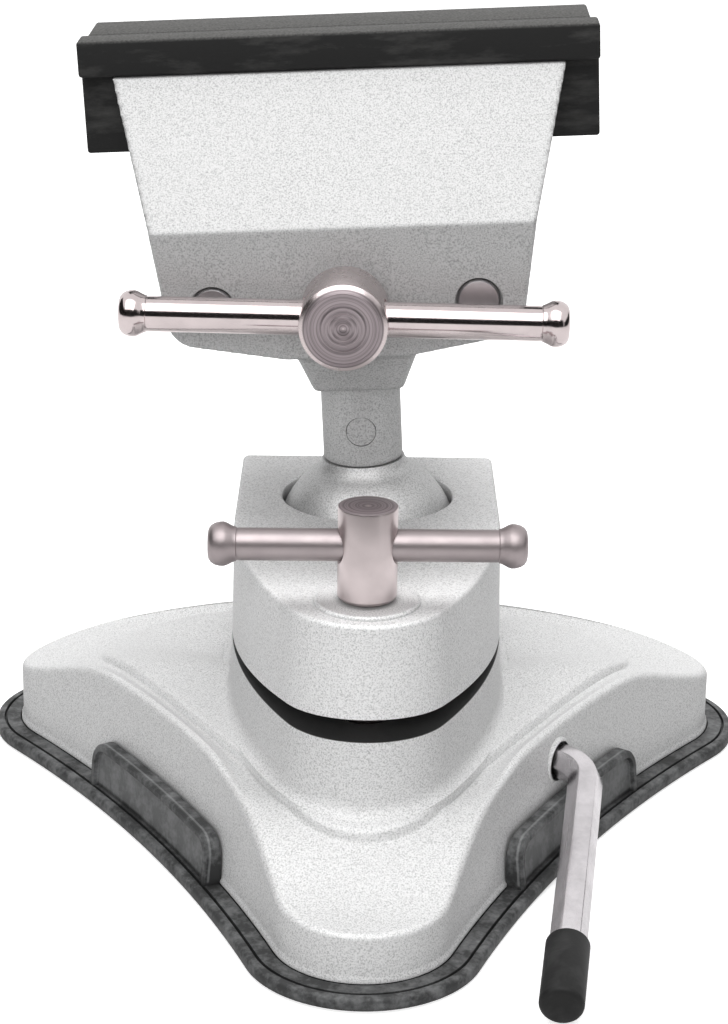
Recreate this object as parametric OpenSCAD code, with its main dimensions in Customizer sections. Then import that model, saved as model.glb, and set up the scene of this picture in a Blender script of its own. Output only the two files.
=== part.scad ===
// Suction base vise: a three-lobed suction base with a cam lever, a ball held
// under a screwed clamp cap, and a soft-jawed head that turns on the ball.
// Millimetres. Origin: centre of the base's underside, on the bench.
// +Z is up, and the clamp screw and both tommy bars face -Y.

/* [Base casting] */
// Distance from the centre of the base to the centre of each lobe
lobe_reach = 48.7; // [46:0.1:54]
// Radius of the rounded end of each lobe
lobe_r = 12.3; // [11:0.1:14]
// Distance from the centre of the base to the middle of each hollow side
waist_r = 33.1; // [32:0.1:35]
// Thickness of the casting's wall and roof
base_wall = 3; // [2.4:0.1:3.4]
// Height of the shoulder above the bench at the tip of a lobe
shoulder_z = 8.8; // [8:0.1:10.5]
// Rise of the domed top from the lobe's tip to the middle
dome_rise = 7.2; // [7:0.1:7.6]
// Distance over which the domed top rises
dome_run = 22; // [20:0.5:24]
// Radius that rounds the shoulder
shoulder_r = 1.8; // [1:0.1:2.4]
// Distance from the centre of the base to the lobe centres of the raised step
step_reach = 33.5; // [31:0.1:36]
// Lobe radius of the raised step
step_lobe_r = 11.7; // [10:0.1:12.5]
// Distance from the centre to the hollow sides of the raised step
step_waist = 27.4; // [26:0.1:28.4]
// Height of the raised step
step_h = 1.6; // [1.4:0.1:2.2]

/* [Suction pad] */
// Thickness of the rubber
pad_t = 2; // [1.6:0.1:2.6]
// Width of the rubber rim outside the casting
pad_flange = 4.3; // [3.6:0.1:6]
// Length of each release lug
lug_len = 46; // [36:0.5:50]
// Height of each lug above the rim
lug_h = 5.3; // [3.5:0.1:5.8]
// Thickness of each lug
lug_t = 2.8; // [2:0.1:3.4]

/* [Suction lever] */
// Height of the lever's axis above the bench
shaft_z = 13.2; // [13:0.1:13.4]
// Hexagon bar, measured across its flats
lever_af = 4.4; // [4:0.1:4.6]
// Distance from the casting's wall to the centre of the lever's bend
lever_out = 3.8; // [3.4:0.1:6]
// Length of the lever's arm from the bend to its end
arm_len = 50; // [40:0.5:60]
// Angle by which the arm leans away from the casting
arm_lean = 24; // [18:0.5:32]
// Angle of the arm below level at rest
arm_drop = 10.4; // [4:0.1:11]
// Radius of the soft cap on the arm's end
lever_cap_r = 2.95; // [2.8:0.05:3.2]
// Length of the soft cap
lever_cap_len = 12.5; // [9:0.5:16]
// Radius of the cam
cam_r = 4.6; // [4.4:0.05:4.7]
// Offset of the cam's centre from the lever's axis
cam_throw = 1.25; // [1:0.05:1.3]
// Width of the cam
cam_w = 6; // [5:0.1:7]

/* [Ball clamp] */
// Radius of the ball
ball_r = 13.5; // [13.2:0.05:13.8]
// Distance of the ball's centre behind the centre of the base
ball_back = 12; // [11.5:0.1:13]
// Height of the ball's centre above the bench
ball_z = 37; // [36.6:0.1:38]
// Width of the clamp cap
cap_w = 39.6; // [37:0.1:42]
// Distance from the ball's centre to the cap's flat back
cap_back = 16; // [15.5:0.1:18]
// Distance from the ball's centre to where the cap's sides begin to curve
cap_straight = 10.3; // [8:0.1:14]
// Distance from the ball's centre to the tip of the cap's nose
cap_nose = 54; // [52:0.1:57]
// Radius of the cap's nose
nose_r = 12; // [11:0.1:13.5]
// Height of the cap's top above the ball's centre
cap_rise = 7; // [6.6:0.1:7.2]
// Depth of the split below the ball's centre, at the back
split_drop = 10.4; // [10:0.1:10.7]
// Rise of the split from the back to the nose
split_rise = 0.9; // [0:0.1:1.2]
// Distance ahead of the ball's centre where the cap leaves the casting
split_start = 9.4; // [6:0.1:14]
// Opening of the split at the nose
split_gap = 3.1; // [2:0.1:4]
// Radius of the cap's opening round the ball
mouth_r = 12.85; // [12.6:0.05:12.9]
// Distance from the ball's centre to the clamp screw
clamp_ahead = 44.6; // [44:0.1:45.5]
// Radius of the clamp screw's head
clamp_head_r = 4.05; // [3.7:0.05:4.6]
// Height of the clamp screw's head
clamp_head_h = 13.2; // [12:0.1:15]
// Radius of the clamp screw's shank
clamp_shank_r = 3; // [2.6:0.1:3.3]
// Radius of the turned spot face under the clamp screw's head
spot_r = 7.2; // [6:0.1:8]
// Height of the clamp bar above the cap
clamp_bar_up = 8.1; // [7.4:0.1:9]
// Radius of the clamp bar
clamp_bar_r = 2.2; // [1.8:0.05:2.4]
// Length of the clamp bar
clamp_bar_len = 42.7; // [36:0.5:50]

/* [Stem] */
// Radius of the stem
stem_r = 5.9; // [5.6:0.05:6.2]
// Height above the ball's centre where the stem meets the ball's collar
stem_foot = 13.2; // [13:0.05:13.6]
// Radius of the ball's shank inside the stem
shank_r = 4; // [3.6:0.05:4.2]
// Height of the stem pin above the ball's centre
pin_z = 18.7; // [18:0.1:19.2]
// Radius of the stem pin
pin_r = 2.15; // [1.6:0.05:2.3]
// Height of the stem's hub above the ball's centre, where the jaw begins
hub_z = 26.2; // [25.6:0.1:27]

/* [Jaws] */
// Sideways offset of the jaws from the stem's axis
jaw_shift = -1.25; // [-1.5:0.05:1.5]
// Distance from the stem's axis back to the face where the jaws meet
grip_y = 9; // [8.6:0.1:9.6]
// Distance from the stem's axis forward to the fixed jaw's lower face
jaw_front = 11.3; // [10.5:0.1:12.5]
// Height of the jaw's bevel line above the ball's centre
bevel_z = 50.8; // [49:0.1:53]
// Height of the top of the jaw castings above the ball's centre
jaw_top_z = 70.5; // [68:0.1:73]
// Width of the jaws at the top
jaw_top_w = 65.4; // [60:0.1:70]
// Width of the jaws at the bevel line
bevel_w = 54.9; // [52:0.1:58]
// Width of the jaws at their lower corners
jaw_low_w = 51.4; // [49:0.1:53]
// Height of the jaw's lower edge at the hub
jaw_low_z = 31.7; // [31:0.1:32.2]
// Rise of the lower edge from the hub to the lower corners
low_edge_rise = 2.2; // [1:0.1:3]
// Thickness of the fixed jaw at its top
fixed_top_t = 3.3; // [3:0.1:4.5]
// Thickness of the moving jaw at its top
moving_top_t = 7.6; // [6:0.1:9]
// Thickness of the moving jaw at its foot
moving_foot_t = 18; // [16:0.1:20]
// Radius of the jaws' lower corners
low_corner_r = 4.5; // [3:0.1:5]

/* [Soft jaw pads] */
// Length of the fixed jaw's pad
fixed_pad_len = 75; // [70:0.5:80]
// Length of the moving jaw's pad
moving_pad_len = 73; // [70:0.5:80]
// Thickness of the pad between the jaws
pad_plate_t = 2.2; // [1.8:0.1:2.8]
// Thickness of the pad's top leg
pad_lip_t = 5.2; // [4:0.1:6]
// Depth to which the pad hangs below its top leg
pad_drop = 11.8; // [9:0.1:14]

/* [Lead screw and rods] */
// Height of the lead screw and rods above the ball's centre
screw_z = 39.6; // [39.4:0.1:40]
// Radius of the lead screw's head
lead_head_r = 6.25; // [5.8:0.05:6.4]
// Length of the lead screw's head
lead_head_len = 10.8; // [9.5:0.1:12]
// Radius of the lead screw's thread
lead_r = 4; // [3.5:0.1:4.2]
// Distance between the guide rods
rod_spacing = 38; // [36:0.1:39]
// Radius of the guide rods
rod_r = 3.1; // [2.8:0.05:3.2]
// Greatest opening of the jaws
jaw_travel = 55; // [40:1:60]
// Radius of the lead bar
lead_bar_r = 2.5; // [2.2:0.05:2.7]
// Length of the lead bar
lead_bar_len = 63; // [56:0.5:63.5]

/* [Pose] */
// Roll of the head on its ball, about the line of sight
head_roll = -3; // [-6:0.5:6]
// Lean of the head towards the handles
head_pitch = 1; // [-1:0.5:1.5]
// Turn of the head about the upright
head_yaw = -1; // [-6:0.5:6]
// Turn of the lead screw and its bar
lead_turn = 3.5; // [-10:0.5:10]
// Turn of the clamp screw and its bar
clamp_turn = 0.5; // [-10:0.5:10]

/* [Hidden] */
$fn = 96;

// Clearances
running = 0.05; // radial, a shaft that turns or slides in its bore
pressed = 0.01; // radial, a pin or rod that is driven in
loose = 0.3; // between curved faces that move on each other
seated = 0.1; // between flat faces that move on each other
through = 1; // how far a cutting shape runs past the face it opens
lap = 0.02; // how far joined lengths of one piece run into each other

// Finishes
cast = [0.80, 0.81, 0.82];
steel = [0.72, 0.70, 0.70];
rubber = [0.22, 0.23, 0.23];
black = [0.10, 0.10, 0.10];

// Directions of the lobes and of the hollow sides; the lever is in a side
lobe_angles = [30, 150, 270];
side_angles = [-30, 90, 210];
lever_angle = side_angles[0];

// Steps round one lobe, along one hollow side, and round a small corner
lobe_steps = 14;
side_steps = 7;
corner_steps = 4;

// ---- Lobed outlines: three lobe arcs joined by three hollow side arcs ----
// An outline is [distance to the lobe centres, lobe radius, waist]
base_line = [lobe_reach, lobe_r, waist_r];
step_line = [step_reach, step_lobe_r, step_waist];
// Radius of the side arc that meets both lobes and passes the waist
function side_radius(o) =
    (o[0] * o[0] + o[2] * o[2] - o[0] * o[2] - o[1] * o[1])
    / (2 * o[1] - 2 * o[2] + o[0]);
function side_centre(o) = o[2] + side_radius(o);
// Half the angle of a lobe arc, measured at the lobe's centre; a side that
// bulges out has a negative radius, so its centre lies the other way
function lobe_sweep(o) = atan2(
    sign(side_radius(o)) * side_centre(o) * sin(60),
    sign(side_radius(o)) * (side_centre(o) * cos(60) - o[0])
);
function polar(r, a) = r * [cos(a), sin(a)];
// Points along the side arc at direction mid, grown outwards by g; t runs
// from -1 at one lobe to 1 at the next
function side_point(o, g, mid, t) =
    polar(side_centre(o), mid)
    - polar(side_radius(o) - g, mid - t * (lobe_sweep(o) - 60));
// Points of an outline grown outwards by g, anticlockwise
function lobed(o, g) = [
    for (turn = lobe_angles) each concat(
        [
            for (i = [0 : lobe_steps])
                polar(o[0], turn)
                + polar(o[1] + g, turn + lobe_sweep(o) * (2 * i / lobe_steps - 1))
        ],
        [
            for (i = [1 : side_steps - 1])
                side_point(o, g, turn + 60, 2 * i / side_steps - 1)
        ]
    )
];

// Height of the domed top at a distance r from the centre
function ease(t) = t * t * (3 - 2 * t);
function dome_z(r) =
    shoulder_z + dome_rise * ease(
        pow(min(1, max(0, (lobe_reach + lobe_r - r) / dome_run)), 1.3)
    );
// A ring of an outline lying on the dome, raised by dz
function on_dome(plan, dz) = [for (p = plan) [p[0], p[1], dome_z(norm(p)) + dz]];
function level(plan, z) = [for (p = plan) [p[0], p[1], z]];

// ---- The clamp's plan: straight sides that curve in to a round nose ----
cap_half = cap_w / 2;
nose_centre = [0, -(cap_nose - nose_r)];
nose_span = cap_nose - nose_r - cap_straight;
flank_r = (cap_half * cap_half + nose_span * nose_span - nose_r * nose_r)
    / (2 * (cap_half - nose_r));
flank_centre = [cap_half - flank_r, -cap_straight];
flank_angle = atan2(
    nose_centre[1] - flank_centre[1], nose_centre[0] - flank_centre[0]
);
cap_corner_r = 1.4;
flank_steps = 10;
// Right-hand half of the plan grown by g, from the nose to the back
function cap_half_plan(g) = concat(
    [
        for (i = [0 : flank_steps])
            nose_centre
            + polar(nose_r + g, -90 + (flank_angle + 90) * i / flank_steps)
    ],
    [
        for (i = [1 : flank_steps])
            flank_centre
            + polar(flank_r + g, flank_angle * (1 - i / flank_steps))
    ],
    [
        for (i = [0 : corner_steps])
            [cap_half - cap_corner_r, cap_back - cap_corner_r]
            + polar(cap_corner_r + g, 90 * i / corner_steps)
    ]
);
function cap_plan(g) =
    let (half = cap_half_plan(g))
    concat(
        half,
        [
            for (i = [len(half) - 1 : -1 : 1])
                [-half[i][0], half[i][1]]
        ]
    );
// Height of the split at y, above the ball's centre
split_slope = split_rise / (cap_back + cap_nose);
function split_z(y) = -split_drop + split_slope * (cap_back - y);

// A solid through rings of points, from the lowest to the highest
module skin(rings) {
    n = len(rings[0]);
    m = len(rings);
    polyhedron(
        points = [for (ring = rings) each ring],
        faces = concat(
            [[for (j = [0 : n - 1]) j]],
            [
                for (i = [0 : m - 2], j = [0 : n - 1])
                    let (k = (j + 1) % n)
                    [i * n + j, (i + 1) * n + j, (i + 1) * n + k, i * n + k]
            ],
            [[for (j = [n - 1 : -1 : 0]) (m - 1) * n + j]]
        ),
        convexity = 6
    );
}

// A convex block with rounded edges; points are its sharp corners' insets
module rounded(points, r) {
    hull() {
        for (p = points) {
            translate(p) {
                sphere(r = r, $fn = 16);
            }
        }
    }
}

// Places children with their origin at the ball's centre
module at_ball() {
    translate([0, ball_back, ball_z]) {
        children();
    }
}

// Places children in the head's frame: the stem is Z, the handles face -Y
module at_head() {
    at_ball() {
        rotate([0, 0, head_yaw]) {
            rotate([head_pitch, 0, 0]) {
                rotate([0, head_roll, 0]) {
                    children();
                }
            }
        }
    }
}

// Places children on the lever's axis: X points out of the casting
module at_lever() {
    translate([0, 0, shaft_z]) {
        rotate([0, 0, lever_angle]) {
            children();
        }
    }
}

// A round bar along Y from y0 to y1
module rod_y(r, y0, y1) {
    translate([0, y1, 0]) {
        rotate([90, 0, 0]) {
            cylinder(r = r, h = y1 - y0);
        }
    }
}

// A tommy bar along X with flared, flat-ended knobs
knob_grow = 0.8;
knob_len = 4.6;
knob_edge = 1.1;
module tommy_bar(r, length) {
    half = length / 2;
    rotate([0, 90, 0]) {
        rotate_extrude() {
            polygon([
                [0, -half],
                [r + knob_grow - knob_edge * 0.7, -half],
                [r + knob_grow, -half + knob_edge],
                [r + knob_grow, -half + knob_len * 0.45],
                [r + knob_grow * 0.45, -half + knob_len * 0.75],
                [r, -half + knob_len],
                [r, half - knob_len],
                [r + knob_grow * 0.45, half - knob_len * 0.75],
                [r + knob_grow, half - knob_len * 0.45],
                [r + knob_grow, half - knob_edge],
                [r + knob_grow - knob_edge * 0.7, half],
                [0, half]
            ]);
        }
    }
}

// ---- Suction pad: lobed rubber sheet with a release lug on each side ----
lug_gap = 0.15;
module lug(mid) {
    steps = 12;
    reach = lug_len / (2 * side_radius(base_line) * sin(lobe_sweep(base_line) - 60));
    linear_extrude(height = pad_t + lug_h) {
        polygon(concat(
            [
                for (i = [0 : steps])
                    side_point(base_line, lug_gap + lug_t, mid, reach * (2 * i / steps - 1))
            ],
            [
                for (i = [steps : -1 : 0])
                    side_point(base_line, lug_gap, mid, reach * (2 * i / steps - 1))
            ]
        ));
    }
}
pad_edge = 0.5;
module suction_pad() {
    color(rubber) {
        linear_extrude(height = pad_t - pad_edge) {
            polygon(lobed(base_line, pad_flange));
        }
        linear_extrude(height = pad_t) {
            polygon(lobed(base_line, pad_flange - pad_edge));
        }
        for (mid = side_angles) {
            lug(mid);
        }
    }
}

// ---- Pull plate, stud and cam: they draw the pad's centre up ----
plate_r = 20;
plate_t = 1.6;
cam_rest = 15; // the cam's angle from its lowest point at rest
stud_r = 3.4;
yoke_t = 5;
yoke_wall = 1.3;
yoke_in = [2 * (cam_r + cam_throw + loose), 2 * (cam_r + loose)];
yoke_out = yoke_in + 2 * [yoke_wall, yoke_wall];
yoke_z = shaft_z - cam_throw * cos(cam_rest);
plate_z = pad_t + seated;
// Points of a rectangle with rounded corners, centred
function rounded_rect(size, r) = [
    for (q = [0 : 3], i = [0 : corner_steps])
        [
            ((q == 0 || q == 3) ? 1 : -1) * (size[0] / 2 - r),
            (q < 2 ? 1 : -1) * (size[1] / 2 - r)
        ] + polar(r, 90 * q + 90 * i / corner_steps)
];
module pull_plate() {
    color(steel) {
        translate([0, 0, plate_z]) {
            difference() {
                cylinder(r = plate_r, h = plate_t);
                translate([0, 0, -through]) {
                    cylinder(r = stud_r - 0.6, h = plate_t + 2 * through);
                }
            }
        }
    }
}
module pull_stud() {
    color(steel) {
        translate([0, 0, plate_z]) {
            cylinder(r = stud_r - 0.6 - pressed, h = plate_t + 0.2);
        }
        translate([0, 0, plate_z + plate_t + seated / 2]) {
            cylinder(r = stud_r, h = yoke_z - yoke_out[1] / 2 - plate_z - plate_t);
        }
        translate([0, 0, yoke_z]) {
            rotate([0, 0, lever_angle]) {
                rotate([90, 0, 90]) {
                    translate([0, 0, -yoke_t / 2]) {
                        linear_extrude(height = yoke_t) {
                            difference() {
                                polygon(rounded_rect(yoke_out, 3));
                                polygon(rounded_rect(yoke_in, 2));
                            }
                        }
                    }
                }
            }
        }
    }
}

shaft_r = lever_af / 2;
cam_pin_r = 0.8;
// Places children at the cam's centre, X along the shaft
module at_cam() {
    at_lever() {
        rotate([-cam_rest, 0, 0]) {
            translate([0, 0, -cam_throw]) {
                children();
            }
        }
    }
}
module cam() {
    color(steel) {
        difference() {
            at_cam() {
                translate([-cam_w / 2, 0, 0]) {
                    rotate([0, 90, 0]) {
                        cylinder(r = cam_r, h = cam_w);
                    }
                }
            }
            at_lever() {
                translate([-cam_w, 0, 0]) {
                    rotate([0, 90, 0]) {
                        cylinder(r = shaft_r + pressed, h = 2 * cam_w);
                    }
                }
            }
            at_cam() {
                translate([0, 0, -cam_r - through]) {
                    cylinder(r = cam_pin_r + pressed, h = 2 * (cam_r + through));
                }
            }
        }
    }
}
module cam_pin() {
    color(steel) {
        at_cam() {
            translate([0, 0, -cam_r + 0.3]) {
                cylinder(r = cam_pin_r, h = 2 * cam_r - 0.6);
            }
        }
    }
}

// ---- Lever: a hexagon bar bent outside the casting, turned round inside ----
bend_r = 5;
bend_turn = 90 - arm_lean;
bend_x = waist_r + lever_out;
bend_start = bend_x - bend_r * tan(bend_turn / 2);
shaft_in = -12;
hex_r = lever_af / 2 / cos(30);
// Places children at the arm's start, Z along the arm
module at_arm() {
    at_lever() {
        rotate([180 + arm_drop, 0, 0]) {
            translate([bend_x, 0, 0]) {
                rotate([0, 0, bend_turn]) {
                    rotate([0, 90, 0]) {
                        children();
                    }
                }
            }
        }
    }
}
module lever_bar() {
    color(steel) {
        difference() {
            union() {
                at_lever() {
                    translate([shaft_in, 0, 0]) {
                        rotate([0, 90, 0]) {
                            cylinder(r = shaft_r, h = bend_start - shaft_in + lap);
                        }
                    }
                    rotate([180 + arm_drop, 0, 0]) {
                        translate([bend_start, bend_r, 0]) {
                            rotate([0, 0, -90]) {
                                rotate_extrude(angle = bend_turn) {
                                    translate([bend_r, 0]) {
                                        circle(r = hex_r, $fn = 6);
                                    }
                                }
                            }
                        }
                    }
                }
                at_arm() {
                    translate([0, 0, bend_x - bend_start - lap]) {
                        rotate([0, 0, 90]) {
                            cylinder(r = hex_r, h = arm_len - (bend_x - bend_start) + lap, $fn = 6);
                        }
                    }
                }
            }
            at_cam() {
                translate([0, 0, -cam_r - through]) {
                    cylinder(r = cam_pin_r + pressed, h = 2 * (cam_r + through));
                }
            }
        }
    }
}
cap_over = 2.5; // how far the soft cap reaches past the bar's end
module lever_cap() {
    color(black) {
        at_arm() {
            translate([0, 0, arm_len + cap_over - lever_cap_len]) {
                difference() {
                    rotate_extrude() {
                        polygon([
                            [0, 0],
                            [lever_cap_r, 0],
                            [lever_cap_r, lever_cap_len - 0.7],
                            [lever_cap_r - 0.2, lever_cap_len - 0.2],
                            [lever_cap_r - 0.7, lever_cap_len],
                            [0, lever_cap_len]
                        ]);
                    }
                    translate([0, 0, -through]) {
                        cylinder(r = hex_r + pressed, h = lever_cap_len - cap_over + through);
                    }
                }
            }
        }
    }
}

// ---- Base casting: lobed domed shell with the clamp's neck on top ----
edge_angles = [0, 30, 60, 90];
foot_angles = [15, 40, 65, 90];
neck_fillet = 2;
neck_draft = 0.3;
boss_r = 4.2;
bearing_gap = 3.5;
pocket_r = 8.4;
pocket_top = yoke_z + yoke_out[1] / 2 + 2 * cam_throw * cos(cam_rest) + loose;
clamp_y = ball_back - clamp_ahead;
screw_depth = 11; // how far the clamp screw enters the casting
mid_line = (base_line + step_line) / 2;
module base_shell() {
    skin(concat(
        [level(lobed(base_line, 0), pad_t)],
        [
            for (a = edge_angles)
                on_dome(lobed(base_line, -shoulder_r * (1 - cos(a))), -shoulder_r * (1 - sin(a)))
        ],
        [
            on_dome(lobed(mid_line, 0), 0),
            on_dome(lobed(step_line, 1), 0),
            on_dome(lobed(step_line, 0.2), step_h - 0.7),
            on_dome(lobed(step_line, -0.3), step_h - 0.15),
            on_dome(lobed(step_line, -1.1), step_h),
            on_dome(lobed(step_line, -4), step_h + 0.2),
            on_dome(lobed(step_line, -8), step_h + 0.45)
        ]
    ));
}
module base_hollow() {
    skin([
        level(lobed(base_line, -base_wall), pad_t - through),
        on_dome(lobed(base_line, -base_wall), -base_wall - 1.2),
        on_dome(lobed(base_line, -base_wall - 1.2), -base_wall),
        on_dome(lobed(mid_line, -base_wall), -base_wall),
        on_dome(lobed(step_line, -8), -base_wall + 0.7)
    ]);
}
// The clamp's plan placed on the base, with each point's height
function neck_ring(g, dz) = [
    for (p = cap_plan(g))
        let (q = p + [0, ball_back])
        [q[0], q[1], dome_z(norm(q)) + step_h + dz]
];
module neck() {
    skin(concat(
        [neck_ring(neck_draft + neck_fillet, -2 * step_h)],
        [
            for (a = foot_angles)
                neck_ring(neck_draft + neck_fillet * (1 - sin(a)), neck_fillet * (1 - cos(a)))
        ],
        [[
            for (p = cap_plan(0))
                [p[0], p[1] + ball_back, ball_z + split_z(p[1])]
        ]]
    ));
}
cup_r = ball_r + loose;
seat_in = 5.5;
seat_out = 8.6;
seat_foot = 14.4;
arc_steps = 24;
cup_floor = -cup_r * cos(55 / arc_steps);
// The lower half of the ball's cup, with the groove for the seat ring
module lower_cup() {
    rotate_extrude() {
        polygon(concat(
            [[0, cup_floor]],
            [for (i = [1 : arc_steps]) polar(cup_r, -90 + 55 * i / arc_steps)],
            [[cup_r * cos(-35), 0], [0, 0]]
        ));
    }
    translate([0, 0, -seat_foot - running]) {
        difference() {
            cylinder(r = seat_out + running, h = seat_foot);
            translate([0, 0, -through]) {
                cylinder(r = seat_in - running, h = seat_foot + 2 * through);
            }
        }
    }
}
// The bearing of the lever's shaft, from x0 to x1 along its axis
module bearing(x0, x1) {
    at_lever() {
        translate([x0, 0, 0]) {
            rotate([0, 90, 0]) {
                cylinder(r = boss_r, h = x1 - x0, $fn = 48);
            }
        }
    }
}
// The casting before its holes are bored
module base_blank() {
    difference() {
        union() {
            base_shell();
            neck();
        }
        difference() {
            union() {
                base_hollow();
                translate([0, 0, pad_t - through]) {
                    cylinder(r = pocket_r, h = pocket_top - pad_t + through);
                }
            }
            bearing(bearing_gap, waist_r);
            bearing(shaft_in + 0.5, -bearing_gap);
        }
    }
    bearing(waist_r / 2, waist_r + 0.3);
}
module base_casting() {
    color(cast) {
        difference() {
            base_blank();
            at_lever() {
                translate([shaft_in - through, 0, 0]) {
                    rotate([0, 90, 0]) {
                        cylinder(r = shaft_r + running, h = waist_r - shaft_in + 2 * through);
                    }
                }
                translate([waist_r - 1.2, 0, 0]) {
                    rotate([0, 90, 0]) {
                        cylinder(r = shaft_r + 0.6, h = 1.2 + through);
                    }
                }
            }
            at_ball() {
                lower_cup();
            }
            translate([0, clamp_y, ball_z - split_drop - screw_depth - 0.6]) {
                cylinder(r = clamp_shank_r + 0.35, h = screw_depth + split_rise + through);
            }
        }
    }
}
module ball_seat() {
    color(black) {
        at_ball() {
            rotate_extrude() {
                polygon(concat(
                    [[seat_in, -seat_foot], [seat_out, -seat_foot]],
                    [
                        for (i = [0 : corner_steps])
                            let (r = seat_out + (seat_in - seat_out) * i / corner_steps)
                            [r, -sqrt(pow(ball_r + seated, 2) - r * r) - 0.02]
                    ]
                ));
            }
        }
    }
}

// ---- Clamp cap and its screw ----
// A point of the cap's sloping underside, y behind the line where it starts
wedge_slope = split_gap / (cap_nose - split_start);
function wedge_point(y) =
    [-split_start + y, split_z(-split_start) + seated - y * (wedge_slope + split_slope)];
cap_edge = 1;
spot_h = 0.5;
module clamp_cap() {
    color(cast) {
        at_ball() {
            difference() {
                union() {
                    skin(concat(
                        [[for (p = cap_plan(0)) [p[0], p[1], split_z(p[1]) + seated]]],
                        [
                            for (a = edge_angles)
                                level(
                                    cap_plan(-neck_draft - cap_edge * (1 - cos(a))),
                                    cap_rise - cap_edge * (1 - sin(a))
                                )
                        ]
                    ));
                    translate([0, -clamp_ahead, 0]) {
                        cylinder(r = spot_r, h = cap_rise + spot_h);
                    }
                }
                rotate([90, 0, 90]) {
                    translate([0, 0, -cap_w]) {
                        linear_extrude(height = 2 * cap_w) {
                            polygon([
                                wedge_point(through),
                                wedge_point(split_start - cap_nose - through),
                                [-cap_nose - through, -split_drop - through],
                                [wedge_point(through)[0], -split_drop - through]
                            ]);
                        }
                    }
                }
                rotate_extrude() {
                    polygon(concat(
                        [[0, -split_drop - 5], [cup_r, -split_drop - 5]],
                        [
                            for (i = [0 : arc_steps])
                                polar(cup_r, acos(mouth_r / cup_r) * i / arc_steps)
                        ],
                        [[mouth_r, cap_rise + through], [0, cap_rise + through]]
                    ));
                }
                translate([0, -clamp_ahead, -split_drop]) {
                    cylinder(r = clamp_shank_r + running, h = split_drop + cap_rise + 2 * through);
                }
            }
        }
    }
}
// Places children on the clamp screw's axis, on the spot face, turned
module at_clamp() {
    translate([0, clamp_y, ball_z + cap_rise + spot_h]) {
        rotate([0, 0, clamp_turn]) {
            children();
        }
    }
}
head_edge = 0.7;
waist_in = 0.25;
module clamp_screw() {
    color(steel) {
        at_clamp() {
            difference() {
                rotate_extrude() {
                    polygon([
                        [0, -cap_rise - spot_h - split_drop - screw_depth],
                        [clamp_shank_r - 0.6, -cap_rise - spot_h - split_drop - screw_depth],
                        [clamp_shank_r, -cap_rise - spot_h - split_drop - screw_depth + 0.6],
                        [clamp_shank_r, seated / 2],
                        [clamp_head_r, seated / 2],
                        [clamp_head_r, clamp_head_h * 0.22],
                        [clamp_head_r - waist_in, clamp_head_h * 0.3],
                        [clamp_head_r - waist_in, clamp_head_h * 0.76],
                        [clamp_head_r, clamp_head_h * 0.84],
                        [clamp_head_r, clamp_head_h - head_edge],
                        [clamp_head_r - head_edge, clamp_head_h],
                        [0, clamp_head_h]
                    ]);
                }
                translate([-clamp_head_r - through, 0, clamp_bar_up - spot_h]) {
                    rotate([0, 90, 0]) {
                        cylinder(r = clamp_bar_r + running, h = 2 * (clamp_head_r + through));
                    }
                }
            }
        }
    }
}
module clamp_bar() {
    color(steel) {
        at_clamp() {
            translate([0, 0, clamp_bar_up - spot_h]) {
                tommy_bar(clamp_bar_r, clamp_bar_len);
            }
        }
    }
}

// ---- Ball stud and the pin that holds the head on it ----
shank_top = hub_z - 2;
groove_r = shank_r - 1.3;
module ball_stud() {
    color(steel) {
        at_head() {
            sphere(r = ball_r);
            rotate_extrude() {
                polygon([
                    [0, 10],
                    [stem_r + 0.9, ball_r - 2],
                    [stem_r, stem_foot - 0.5],
                    [stem_r, stem_foot - seated],
                    [shank_r, stem_foot - seated],
                    [shank_r, pin_z - pin_r - seated],
                    [groove_r, pin_z - pin_r - seated],
                    [groove_r, pin_z + pin_r + seated],
                    [shank_r, pin_z + pin_r + seated],
                    [shank_r, shank_top - 0.6],
                    [shank_r - 0.6, shank_top],
                    [0, shank_top]
                ]);
            }
        }
    }
}
module stem_pin() {
    color(cast) {
        at_head() {
            translate([0, 0, pin_z]) {
                rod_y(pin_r, -stem_r + 0.2, -groove_r - 0.2);
            }
        }
    }
}

// ---- Jaws ----
jaw_edge = 0.8;
hub_half = 8.8;
fixed_back = grip_y - pad_plate_t;
moving_front = grip_y + pad_plate_t;
low_centre = [
    jaw_low_w / 2 - low_corner_r,
    jaw_low_z + low_edge_rise + low_corner_r
];
// Insets of one jaw's right-hand lower outline, as [x, z]
jaw_low_line = concat(
    [[bevel_w / 2 - jaw_edge, bevel_z]],
    [
        for (i = [0 : corner_steps])
            low_centre + polar(low_corner_r - jaw_edge, -84 * i / corner_steps)
    ],
    [[hub_half - 2, jaw_low_z + jaw_edge]]
);
// A jaw's body: a lower block, and an upper block that widens to the top.
// y_grip is the face towards the other jaw, the other two the outer face
// at the foot and at the top
module jaw_body(y_grip, y_foot, y_top) {
    inward = y_foot < y_grip ? -jaw_edge : jaw_edge;
    rounded(
        [
            for (s = [-1, 1], p = jaw_low_line, y = [y_grip + inward, y_foot - inward])
                [s * p[0], y, p[1]]
        ],
        jaw_edge
    );
    rounded(
        [
            for (s = [-1, 1])
                each [
                    [s * (bevel_w / 2 - jaw_edge), y_grip + inward, bevel_z],
                    [s * (bevel_w / 2 - jaw_edge), y_foot - inward, bevel_z],
                    [s * (jaw_top_w / 2 - jaw_edge), y_grip + inward, jaw_top_z - jaw_edge],
                    [s * (jaw_top_w / 2 - jaw_edge), y_top - inward, jaw_top_z - jaw_edge]
                ]
        ],
        jaw_edge
    );
}
module rod_places() {
    for (s = [-1, 1]) {
        translate([s * rod_spacing / 2, 0, screw_z]) {
            children();
        }
    }
}
fixed_top = fixed_back - fixed_top_t;
moving_top = moving_front + moving_top_t;
moving_foot = moving_front + moving_foot_t;
neck_shank_r = lead_r - 0.6; // the lead screw is thinner through the fixed jaw
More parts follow.
